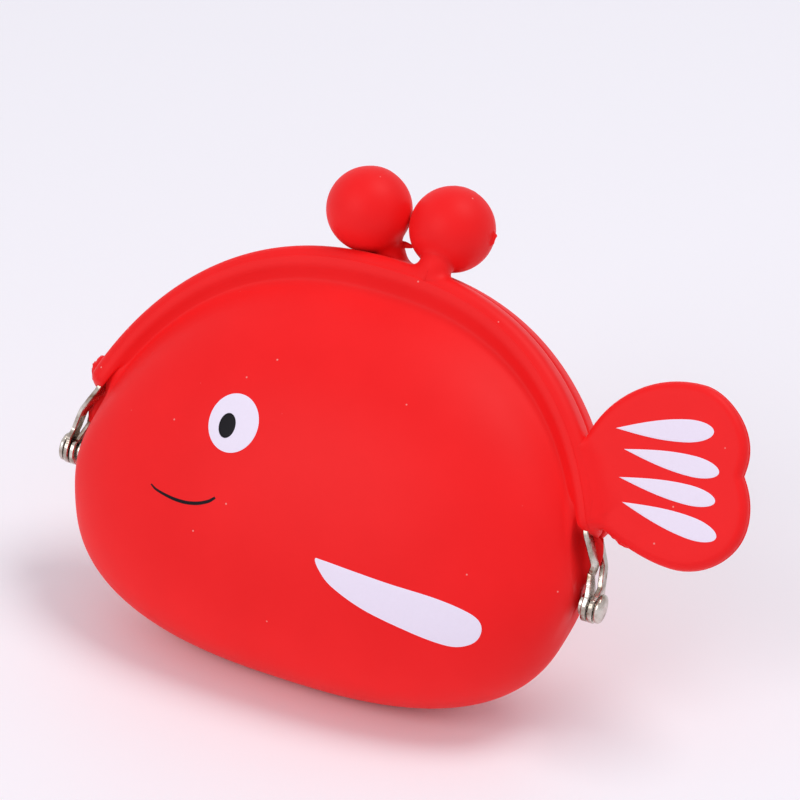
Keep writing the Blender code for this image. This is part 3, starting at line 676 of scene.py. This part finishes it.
def make_ball(name, side, knob_x, tree, material):
    """A ball and its neck in one skin. The neck runs out of the band and into the ball in hollow curves,
    fullest on the ball's outer flank."""
    angle = neck_angle(side, knob_x)
    base, _ = arch_point(angle)
    base.y = side * SLEEVE_DEPTH / 2
    centre = ball_centre(side)
    axis = (centre - base).normalized()
    across = Vector((1.0, 0.0, 0.0))
    across = (across - axis * across.dot(axis)).normalized()
    behind = axis.cross(across)
    full_flank = Vector((side, side, 0.0)).normalized()
    radius_here = (arch_point(angle + 0.01)[0] - arch_point(angle - 0.01)[0]).length / 0.02
    bm = bmesh.new()
    columns = []
    for index in range(NECK_SIDES):
        phase = 2 * math.pi * index / NECK_SIDES
        aside = math.cos(phase)
        back = math.sin(phase)
        near = band_surface(
            angle - aside * NECK_SPREAD / radius_here, -side * back * NECK_DEPTH_SPREAD, side)
        start, normal, _, _ = tree.find_nearest(near)
        radial = across * aside + behind * back
        inward = (normal * radial.dot(normal) - radial).normalized()
        join = mix(BALL_JOIN_TIGHT, BALL_JOIN_FULL, smooth(0.5 + 0.6 * radial.dot(full_flank)))
        end = centre + (radial * math.sin(join) - axis * math.cos(join)) * BALL_RADIUS
        leaving = radial * math.cos(join) + axis * math.sin(join)
        waist = base + axis * NECK_WAIST_RISE + radial * NECK_WAIST
        column = [start - normal * 0.25 * MM]
        for step in range(NECK_STEPS + 1):
            lower = start + inward * (start - waist).length * 0.5
            upper = waist - axis * (start - waist).length * 0.4
            column.append(bezier(start, lower, upper, waist, step / NECK_STEPS))
        for step in range(1, FLARE_STEPS + 1):
            lower = waist + axis * (end - waist).length * 0.38
            upper = end - leaving * (end - waist).length * 0.5
            column.append(bezier(waist, lower, upper, end, step / FLARE_STEPS))
        for step in range(1, BALL_STEPS):
            polar = mix(join, math.pi, step / BALL_STEPS)
            direction = radial * math.sin(polar) - axis * math.cos(polar)
            raised = FLASH_HEIGHT * bump_at(direction.y, FLASH_WIDTH) * smooth(step / 6)
            column.append(centre + direction * (BALL_RADIUS + raised))
        columns.append([bm.verts.new(point) for point in column])
    top = bm.verts.new(centre + axis * (BALL_RADIUS + FLASH_HEIGHT / 2))
    rings = list(zip(*columns))
    join_rings(bm, rings + [[top]])
    bm.faces.new(rings[0])
    return make_piece(name, bm, material, 60)


# Tail fin

def tail_outline():
    """Outline of the fin in the X-Z plane, from the top of its root round the lobes to its foot.
    Both ends lie inside the band."""
    root, _ = arch_point(arch_angle(TAIL_ROOT_BOTTOM))
    start, _ = arch_point(arch_angle(TAIL_ROOT_TOP))
    origin = Vector((root.x, 0.0, TAIL_BOTTOM))

    def place(shares):
        return origin + Vector((shares[0] * TAIL_LENGTH, 0.0, shares[1] * TAIL_HEIGHT))

    inner_start, _ = arch_point(arch_angle(TAIL_ROOT_TOP), TAIL_BURIED)
    points = [inner_start, start]
    rows = [[place(shares) for shares in row] for row in TAIL_OUTLINE_SHARES]
    rows.append([place(shares) for shares in TAIL_FOOT_SHARES] + [root])
    for first, second, reached in rows:
        for step in range(1, CURVE_STEPS + 1):
            points.append(bezier(start, first, second, reached, step / CURVE_STEPS))
        start = reached
    inner_end, _ = arch_point(arch_angle(TAIL_ROOT_BOTTOM), TAIL_BURIED)
    points.append(inner_end)
    return points


def edge_direction(outline, index):
    """Direction out of the fin at a point of its outline."""
    along = step_past(outline, index).normalized()
    return Vector((-along.z, 0.0, along.x))


def outward_offset(point):
    """Distance of a point outside the rim's outer line, near the tail."""
    low, high = END_ANGLE, math.pi / 2
    for _ in range(30):
        third = (high - low) / 3
        first = (arch_point(low + third)[0] - point).length
        second = (arch_point(high - third)[0] - point).length
        if first < second:
            high = high - third
        else:
            low = low + third
    arch, out = arch_point((low + high) / 2)
    return (Vector((point.x, 0.0, point.z)) - arch).dot(out)


def root_rise(outward):
    """How far back the fin's face lies from the band's face near its root, in a hollow fillet."""
    start_out, start_back, slope = -1.1 * MM, 0.295 * MM, 0.577
    end_out = 1.5 * MM
    if outward >= end_out:
        return TAIL_SETBACK
    if outward <= start_out:
        reach = outward + CREST_RADIUS
        inside = math.sqrt(max(CREST_RADIUS ** 2 - max(reach, 0.0) ** 2, 0.0))
        return CREST_RADIUS - inside + 0.12 * MM * smooth((start_out - outward) / (0.8 * MM))
    share = (outward - start_out) / (end_out - start_out)
    return bezier(start_back, start_back + slope * 0.9 * MM, TAIL_SETBACK, TAIL_SETBACK, share)


def even_points(points, count):
    """The same line with evenly spaced points."""
    lengths = [0.0]
    for first, second in zip(points, points[1:]):
        lengths.append(lengths[-1] + (second - first).length)
    result = []
    place = 0
    for index in range(count):
        wanted = lengths[-1] * index / (count - 1)
        while place < len(points) - 2 and lengths[place + 1] < wanted:
            place += 1
        span = lengths[place + 1] - lengths[place]
        result.append(points[place].lerp(points[place + 1], (wanted - lengths[place]) / span))
    return result


def make_tail(name, material):
    """The flat fin with rolled edges, a parting line round its edge and a filleted root."""
    outline = even_points(tail_outline(), TAIL_POINTS)
    normals = [edge_direction(outline, index) for index in range(TAIL_POINTS)]
    centre = sum(outline, Vector()) / TAIL_POINTS
    flat = TAIL_THICKNESS / 2 - TAIL_EDGE_RADIUS
    rolled = [(0.0, 0.02 * MM), (0.0, flat)]
    for step in range(1, 7):
        turn = math.pi / 2 * step / 6
        rolled.append((TAIL_EDGE_RADIUS * (1 - math.cos(turn)), flat + TAIL_EDGE_RADIUS * math.sin(turn)))
    rings = []
    for half in (-1, 1):
        side_rings = []
        for inset, depth in rolled:
            level = Vector((0.0, TAIL_MIDDLE + half * depth, 0.0))
            side_rings.append([place - normal * inset + level for place, normal in zip(outline, normals)])
        last = side_rings[-1]
        core = Vector((centre.x, TAIL_MIDDLE + half * TAIL_THICKNESS / 2, centre.z))
        for share in (0.93, 0.84, 0.72, 0.58, 0.42, 0.25, 0.1):
            side_rings.append([mix(core, point, share) for point in last])
        if half < 0:
            for ring in side_rings:
                for index, point in enumerate(ring):
                    rise = root_rise(outward_offset(point)) - TAIL_SETBACK
                    nearness = max((TAIL_MIDDLE - point.y) / (TAIL_THICKNESS / 2), 0.0)
                    ring[index] = Vector((point.x, point.y + rise * nearness, point.z))
        rings.append(side_rings)
    level = Vector((0.0, TAIL_MIDDLE, 0.0))
    ridge = [place + normal * TAIL_RIDGE + level for place, normal in zip(outline, normals)]
    ends = [[sum(side_rings[-1], Vector()) / TAIL_POINTS] for side_rings in rings]
    points = [ends[0]] + list(reversed(rings[0])) + [ridge] + rings[1] + [ends[1]]
    bm = bmesh.new()
    join_rings(bm, [[bm.verts.new(point) for point in ring] for ring in points])
    return make_piece(name, bm, material, 75)


# Flash, the thin ragged rubber left where the halves of the mould met

FLASH_STEP = 0.22 * MM


def make_flash(name, line, height, thickness, tear, material):
    """Torn lip along a line of (place, outward direction); its height swells to the middle."""
    rings = []
    bm = bmesh.new()
    for (first, first_out), (second, second_out) in zip(line, line[1:]):
        steps = max(int((second - first).length / FLASH_STEP), 1)
        for step in range(steps):
            place = first.lerp(second, step / steps)
            rings.append((place, first_out.lerp(second_out, step / steps).normalized()))
    rings.append(line[-1])
    loops = []
    places = [place for place, _ in rings]
    for index, (place, outward) in enumerate(rings):
        share = index / (len(rings) - 1)
        ragged = 0.8 + tear * (0.9 * noise.noise(place / (0.9 * MM)) + 0.35 * noise.noise(place / (0.3 * MM)))
        tall = height * max(ragged, 0.12) * math.sin(math.pi * min(max(share, 0.02), 0.98)) ** 0.5
        along = step_past(places, index).normalized()
        side = along.cross(outward).normalized() * thickness / 2
        buried = place - outward * 0.5 * MM
        loops.append([bm.verts.new(point) for point in (
            buried - side, place - side, place + outward * tall * 0.7 - side * 0.7, place + outward * tall,
            place + outward * tall * 0.7 + side * 0.7, place + side, buried + side)])
    make_tube(bm, loops)
    return make_piece(name, bm, material, 60)


def ball_flash_line():
    """On the front ball's parting line, at its right."""
    centre = ball_centre(-1)
    line = []
    for degrees in range(-8, 13, 2):
        turn = math.radians(degrees)
        outward = Vector((math.cos(turn), 0.0, math.sin(turn)))
        line.append((centre + outward * BALL_RADIUS, outward))
    return line


def band_flash_line():
    """On the mouth's edge at the left-hand end of the band."""
    line = []
    for level in (13.0, 14.2, 15.4, 16.6, 17.8):
        place, outward = arch_point(math.pi - arch_angle(level * MM), 0.3 * MM)
        place.y = -1.2 * MM
        line.append((place, outward))
    return line


def neck_flash_line():
    """A nub on the rear neck, pointing at the front ball."""
    outward = Vector((1.0, 0.0, 0.0))
    return [(Vector((-1.3 * MM, 3.0 * MM, level * MM)), outward) for level in (50.7, 51.3, 51.9)]


def tail_flash_line():
    """Under the foot of the tail."""
    outline = tail_outline()
    line = []
    for before_end in (3, 5, 7, 9):
        index = len(outline) - before_end
        line.append((outline[index] + Vector((0.0, TAIL_MIDDLE, 0.0)), edge_direction(outline, index)))
    return line


# Prints, placed by the photograph's pixels and laid on the surface that the camera sees there

def pixel_ray(pixel):
    focal = CAMERA_FOCAL / SENSOR * IMAGE
    right = (pixel[0] - IMAGE / 2) / focal
    up = (IMAGE / 2 - pixel[1]) / focal
    return (CAMERA_RIGHT * right + CAMERA_UP * up - CAMERA_BACK).normalized()


def laid_point(tree, pixel, height):
    """Point of the skin behind a pixel of the photograph, raised along the skin's normal."""
    place, normal, _, _ = tree.ray_cast(CAMERA_PLACE, pixel_ray(pixel))
    if normal.dot(CAMERA_BACK) < 0:
        normal = -normal
    return place + normal * height


def surface_tree(pieces):
    """One tree of all the faces of some pieces, in the purse frame."""
    back = PURSE.inverted()
    verts, faces = [], []
    for piece in pieces:
        offset = len(verts)
        verts += [back @ vert.co for vert in piece.data.vertices]
        faces += [[offset + index for index in face.vertices] for face in piece.data.polygons]
    return BVHTree.FromPolygons(verts, faces)


INK_RISE = 0.045 * MM
INK_SINK = 0.10 * MM
INK_RINGS = 9
INK_EDGE_SHARE = 0.985
FIN_STEPS = 10
STROKE_STEPS = 12


def make_print(name, outline, tree, material, rise=INK_RISE):
    """A film of ink with this outline in the photograph, laid on the silicone."""
    centre = sum(outline, Vector((0.0, 0.0))) / len(outline)
    rings = [([centre], -INK_SINK), (outline, -INK_SINK), (outline, rise * 0.7)]
    for share in [INK_EDGE_SHARE] + [1 - ring / INK_RINGS for ring in range(2, INK_RINGS)]:
        rings.append(([centre + (point - centre) * share for point in outline], rise))
    rings.append(([centre], rise))
    bm = bmesh.new()
    join_rings(bm, [
        [bm.verts.new(laid_point(tree, point, height)) for point in ring] for ring, height in rings])
    return make_piece(name, bm, material, 60)


def ellipse(centre, half_long, half_short, lean_degrees, steps=72):
    """Ellipse in pixels whose long axis leans from the vertical."""
    lean = math.radians(lean_degrees)
    long_axis = Vector((math.sin(lean), -math.cos(lean)))
    short_axis = Vector((math.cos(lean), math.sin(lean)))
    points = []
    for step in range(steps):
        turn = 2 * math.pi * step / steps
        points.append(Vector(centre) + long_axis * half_long * math.cos(turn)
                      + short_axis * half_short * math.sin(turn))
    return points


PETAL_WIDEST = 0.72


def petal(tip, blunt, width, steps=60):
    """Petal from a sharp tip to a round end, in pixels."""
    tip, blunt = Vector(tip), Vector(blunt)
    along = blunt - tip
    length = along.length
    along = along / length
    across = Vector((-along.y, along.x))
    points = []
    for step in range(steps + 1):
        share = (1 - math.cos(math.pi * step / steps)) / 2
        if share > PETAL_WIDEST:
            past = (share - PETAL_WIDEST) / (1 - PETAL_WIDEST)
            half = width / 2 * math.sqrt(max(1 - past * past, 0.0))
        else:
            half = width / 2 * math.sin(math.pi / 2 * share / PETAL_WIDEST)
        points.append((length * share, half))
    upper = [tip + along * place + across * half for place, half in points[:-1]]
    lower = [tip + along * place - across * half for place, half in reversed(points[1:])]
    return upper + lower


def make_stroke(name, points, half_widths, tree, material):
    """A line of ink drawn through pixel points, with a half width at each."""
    curve = curve_through([Vector(point) for point in points], STROKE_STEPS)
    widths = []
    for here, there in zip(half_widths, half_widths[1:]):
        widths += [mix(here, there, step / STROKE_STEPS) for step in range(STROKE_STEPS)]
    widths.append(half_widths[-1])
    bm = bmesh.new()
    rings = []
    for index, (point, width) in enumerate(zip(curve, widths)):
        along = step_past(curve, index).normalized()
        across = Vector((-along.y, along.x)) * width
        section = (
            (point + across, -INK_SINK), (point + across, INK_RISE * 0.6), (point, INK_RISE),
            (point - across, INK_RISE * 0.6), (point - across, -INK_SINK))
        rings.append([bm.verts.new(laid_point(tree, pixel, height)) for pixel, height in section])
    make_tube(bm, rings)
    return make_piece(name, bm, material, 60)


# Stage

WORLD_LEVEL = 0.55


def make_stage():
    bm = bmesh.new()
    bmesh.ops.create_grid(bm, x_segments=1, y_segments=1, size=3.0)
    mesh = bpy.data.meshes.new("floor")
    bm.to_mesh(mesh)
    bm.free()
    floor = add_object("floor", mesh)
    material, _, _, _ = new_material("pale_floor", {"Base Color": srgb("#FCFBFF"), "Roughness": 0.5})
    mesh.materials.append(material)

    world = bpy.data.worlds.new("pale_room")
    bpy.context.scene.world = world
    world.use_nodes = True
    tree = world.node_tree
    background = tree.nodes["Background"]
    background.inputs["Color"].default_value = srgb("#F3F1FA")
    background.inputs["Strength"].default_value = WORLD_LEVEL
    seen = add_node(tree, "ShaderNodeBackground", {"Color": srgb("#F8F6FD"), "Strength": 0.95})
    rays = add_node(tree, "ShaderNodeLightPath")
    seen_rays = add_node(
        tree, "ShaderNodeMath", {"operation": "ADD", "use_clamp": True},
        {0: rays.outputs["Is Camera Ray"], 1: rays.outputs["Is Glossy Ray"]})
    mixed_world = add_node(tree, "ShaderNodeMixShader", None, {0: seen_rays, 1: background, 2: seen})
    link_inputs(tree, tree.nodes["World Output"], {"Surface": mixed_world})


def add_lamp(name, place, target, size, energy, colour):
    lamp = bpy.data.lights.new(name, "AREA")
    lamp.shape = "DISK"
    lamp.size = size
    lamp.energy = energy
    lamp.color = srgb(colour)[:3]
    thing = add_object(name, lamp)
    thing.location = place
    thing.rotation_euler = (Vector(target) - Vector(place)).to_track_quat("-Z", "Y").to_euler()


def make_light():
    middle = (0.0, 0.0, 0.04)
    add_lamp("overhead", (0.45, 0.25, 1.40), middle, 0.70, 7.8, "#FFFFFF")
    add_lamp("front", (-0.45, -1.10, 0.80), middle, 0.90, 5.8, "#FFFDFF")


def make_camera():
    camera = bpy.data.cameras.new("camera")
    camera.sensor_width = SENSOR
    camera.lens = CAMERA_FOCAL
    camera.clip_start = 0.01
    thing = add_object("camera", camera)
    turn = Matrix((CAMERA_RIGHT, CAMERA_UP, CAMERA_BACK)).transposed().to_4x4()
    thing.matrix_world = PURSE @ Matrix.Translation(CAMERA_PLACE) @ turn
    bpy.context.scene.camera = thing


# Arches and rivets

ARCH_STEPS = 60
STRIP_THICKNESS = 0.9 * MM
STRIP_WIDTH = 4.6 * MM
STRIP_EDGE = 0.16 * MM
LEG_TOP_WIDTH = 2.9 * MM
LEG_WIDTH = 2.3 * MM
EAR_RADIUS = 2.8 * MM
EAR_START = math.radians(52)
EAR_END = math.radians(-88)
EAR_STEPS = 15
INNER_EAR_X = ARCH_HALF_WIDTH - 4.85 * MM
EAR_PITCH = 1.2 * MM
EXIT_LEVEL = 12.6 * MM
SHEAR_DEPTH = 0.05 * MM


def leg_sections(outer):
    """Sections of a leg, from inside the band to its ear: place, outward direction and half width.
    The leg to the outer ear swings out first and then turns down; the other one runs nearly straight."""
    ear_x = INNER_EAR_X + (EAR_PITCH if outer else 0.0)
    knee = Vector((ear_x - (0.85 if outer else 0.3) * MM, -1.55 * MM, (7.2 if outer else 7.0) * MM))
    ear_top = Vector((ear_x - (0.0 if outer else 0.7) * MM, -0.75 * MM, (3.3 if outer else 5.0) * MM))
    start, _ = arch_point(arch_angle(EXIT_LEVEL + 1.5 * MM), SLEEVE_HEIGHT / 2)
    start.y = -SLEEVE_DEPTH / 2
    leave, _ = arch_point(arch_angle(EXIT_LEVEL), SLEEVE_HEIGHT / 2)
    leave.y = -SLEEVE_DEPTH / 2
    spine = [start, leave]
    for share in (0.25, 0.5, 0.75, 0.93):
        spine.append(mix(leave, knee, share))
    for share in (0.12, 0.4, 0.75, 1.0):
        spine.append(mix(knee, ear_top, share))
    sections = []
    for index, place in enumerate(spine):
        along = step_past(spine, index)
        outward = Vector((-along.z, 0.0, along.x)).normalized()
        if outward.x < 0:
            outward = -outward
        half = mix(LEG_TOP_WIDTH, LEG_WIDTH, smooth((index - 1) / 5)) / 2
        sections.append((place, outward, half))
    for step in range(1, EAR_STEPS + 1):
        turn = mix(EAR_START, EAR_END, step / EAR_STEPS)
        half = EAR_RADIUS * math.cos(turn)
        level = EAR_RADIUS * math.sin(turn)
        centre_y = mix(-0.75 * MM, 0.0, smooth(step / 4))
        sections.append((Vector((ear_x, centre_y, level)), Vector((1.0, 0.0, 0.0)), half))
    return sections


def strip_ring(place, outward, half):
    """Section of the strip with its four edges eased, and edges slightly torn by the shearing."""
    rough = SHEAR_DEPTH * noise.noise(place / (0.35 * MM))
    half = half + rough
    thick = STRIP_THICKNESS / 2
    across = Vector((0.0, 1.0, 0.0))
    outline = [
        (-half, thick - STRIP_EDGE), (-half + STRIP_EDGE, thick), (half - STRIP_EDGE, thick),
        (half, thick - STRIP_EDGE), (half, -thick + STRIP_EDGE), (half - STRIP_EDGE, -thick),
        (-half + STRIP_EDGE, -thick), (-half, -thick + STRIP_EDGE)]
    return [place + across * wide + outward * high for wide, high in outline]


def fine_sections(sections, steps):
    """The same sections with more of them between, on a smooth curve."""
    places, directions, halves = [curve_through(list(part), steps) for part in zip(*sections)]
    return [(place, out.normalized(), half) for place, out, half in zip(places, directions, halves)]


def make_arch(name, side, material):
    """The sprung strip: bent to the rim, with a narrower leg and a round ear at each end."""
    flip = Vector((-1.0, 1.0, 1.0))
    right = list(reversed(fine_sections(leg_sections(False), 4)))
    left = [(place * flip, outward * flip, half)
            for place, outward, half in fine_sections(leg_sections(True), 4)]
    arch = []
    start = arch_angle(EXIT_LEVEL + 2.5 * MM)
    for index in range(ARCH_STEPS + 1):
        place, out = arch_point(mix(start, math.pi - start, index / ARCH_STEPS), SLEEVE_HEIGHT / 2)
        place.y = -SLEEVE_DEPTH / 2
        ends = min(index, ARCH_STEPS - index) / 3
        arch.append((place, out, mix(LEG_TOP_WIDTH, STRIP_WIDTH, smooth(ends)) / 2))
    turn = Matrix.Identity(3) if side < 0 else Matrix.Rotation(math.pi, 3, "Z")
    bm = bmesh.new()
    rings = []
    for place, outward, half in right + arch + left:
        rings.append([bm.verts.new(turn @ point) for point in strip_ring(place, outward, half)])
    make_tube(bm, rings)
    return make_piece(name, bm, material, 35)


RIVET_HEAD_RADIUS = 2.6 * MM
RIVET_HEAD_HEIGHT = 1.1 * MM
RIVET_TAIL_RADIUS = 1.9 * MM
RIVET_TAIL_HEIGHT = 0.6 * MM
RIVET_RADIUS = 1.0 * MM
RIVET_CLEARANCE = 0.3 * MM
RIVET_SIDES = 48


def make_rivet(name, side, material):
    """Rivet with a domed head, flattened on top by the press, and an upset tail inside."""
    tail_face = INNER_EAR_X - STRIP_THICKNESS / 2 - RIVET_CLEARANCE
    head_face = INNER_EAR_X + EAR_PITCH + STRIP_THICKNESS / 2 + RIVET_CLEARANCE
    head, height = RIVET_HEAD_RADIUS, RIVET_HEAD_HEIGHT
    profile = [
        (tail_face - RIVET_TAIL_HEIGHT, 0.0), (tail_face - RIVET_TAIL_HEIGHT, RIVET_TAIL_RADIUS * 0.8),
        (tail_face - RIVET_TAIL_HEIGHT * 0.7, RIVET_TAIL_RADIUS), (tail_face, RIVET_TAIL_RADIUS),
        (tail_face, RIVET_RADIUS), (head_face, RIVET_RADIUS), (head_face, head * 0.97),
        (head_face + height * 0.10, head), (head_face + height * 0.42, head)]
    for step in range(1, 9):
        turn = math.pi / 2 * step / 9
        profile.append((head_face + height * (0.42 + 0.58 * math.sin(turn)), head * math.cos(turn) ** 0.8))
    profile.append((head_face + height * 0.97, 0.0))
    bm = bmesh.new()
    rings = []
    for distance, radius in profile:
        if radius == 0:
            rings.append([bm.verts.new(Vector((side * distance, 0.0, 0.0)))])
            continue
        ring = []
        for index in range(RIVET_SIDES):
            turn = 2 * math.pi * index / RIVET_SIDES
            dent = 1 + 0.012 * noise.noise(Vector((distance / MM, 2 * math.cos(turn), 2 * math.sin(turn))))
            ring.append(bm.verts.new(Vector((
                side * distance, radius * dent * math.cos(turn), radius * dent * math.sin(turn)))))
        rings.append(ring)
    join_rings(bm, rings)
    return make_piece(name, bm, material, 45)


def dress_posts(material):
    for name in ("front_knob_post", "rear_knob_post"):
        for slot in frame["nodes"][name].material_slots:
            slot.material = material


# The purse


def make_purse():
    silicone = moulded_silicone()
    lilac = printed_ink("pad_printed_lilac_white", srgb("#F3EAFA"), srgb("#B9ADC2"), 0.45)
    black = printed_ink("pad_printed_black", srgb("#0F0D13"), srgb("#4A3A44"), 0.42)
    steel = nickel_plated_steel("nickel_plated_spring_steel", srgb("#D3CDC3"), srgb("#A79D90"))

    front = make_moulding("front_moulding", -1, silicone)
    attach(front, "front_half")
    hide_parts("pouch_belly", "front_rim_sleeve")

    front_ball = make_ball("front_ball", -1, FRONT_KNOB_X, surface_tree([front]), silicone)
    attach(front_ball, "front_half")
    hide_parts("front_ball_cover")

    tail = make_tail("tail", silicone)
    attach(tail, "front_half")
    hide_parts("tail_fin")

    rear = make_moulding("rear_moulding", 1, silicone)
    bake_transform(rear)
    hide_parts("pouch_rear_wall", "rear_rim_sleeve")

    rear_ball = make_ball("rear_ball", 1, REAR_KNOB_X, surface_tree([rear]), silicone)
    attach(rear_ball, "rear_half")
    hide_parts("rear_ball_cover")

    for name, line, height, thickness, tear in (
            ("ball_flash", ball_flash_line(), 0.75 * MM, 0.35 * MM, 1.0),
            ("band_flash", band_flash_line(), 2.9 * MM, 2.6 * MM, 0.35),
            ("tail_flash", tail_flash_line(), 0.45 * MM, 0.5 * MM, 0.8),
            ("neck_flash", neck_flash_line(), 3.0 * MM, 0.8 * MM, 0.2)):
        lip = make_flash(name, line, height, thickness, tear, silicone)
        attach(lip, "rear_half" if name == "neck_flash" else "front_half")

    skin = surface_tree([front, tail])
    prints = [
        make_print("eye_white", ellipse((233.7, 423.1), 30.2, 24.6, 18), skin, lilac),
        make_print("eye_pupil", ellipse((227.3, 425.5), 12.8, 8.1, 16), skin, black, 2 * INK_RISE),
        make_print("pectoral_fin", curve_through([Vector(pixel) for pixel in (
            (315, 558.8), (323, 560.4), (355, 572), (389.3, 584), (433.9, 598), (463.3, 610.2), (478, 620),
            (481.4, 631), (475, 642), (459.4, 646.9), (440.3, 644), (408.4, 631.8), (363.8, 610.2),
            (331.9, 587.2), (319.1, 570.6))], FIN_STEPS, closed=True), skin, lilac),
        make_stroke("smile", [
            (151.2, 483.9), (157, 489.9), (171, 497.6), (183.8, 502), (196.5, 503.3), (208, 501.4),
            (215, 497.6)],
            [0.6, 1.1, 1.5, 1.7, 1.75, 1.6, 1.2], skin, black),
    ]
    stripes = (
        ((616, 428), (714, 432), 23), ((624, 449), (719, 473), 21),
        ((619, 477), (715, 502), 20), ((622, 502), (716, 538), 22),
    )
    for number, (tip, blunt, width) in enumerate(stripes, 1):
        prints.append(make_print("tail_stripe_%d" % number, petal(tip, blunt, width), skin, lilac))
    for film in prints:
        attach(film, "front_half")

    front_arch = make_arch("front_arch", -1, steel)
    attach(front_arch, "front_half")
    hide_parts("front_steel_arch")

    rear_arch = make_arch("rear_arch", 1, steel)
    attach(rear_arch, "rear_half")
    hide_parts("rear_steel_arch")

    for name, side in (("hinge_rivet_right", 1), ("hinge_rivet_left", -1)):
        rivet = make_rivet(name + "_fine", side, steel)
        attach(rivet, "front_half")
        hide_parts(name)
    dress_posts(steel)


make_stage()
make_light()
make_camera()
make_purse()
bpy.context.scene.view_settings.view_transform = "Standard"
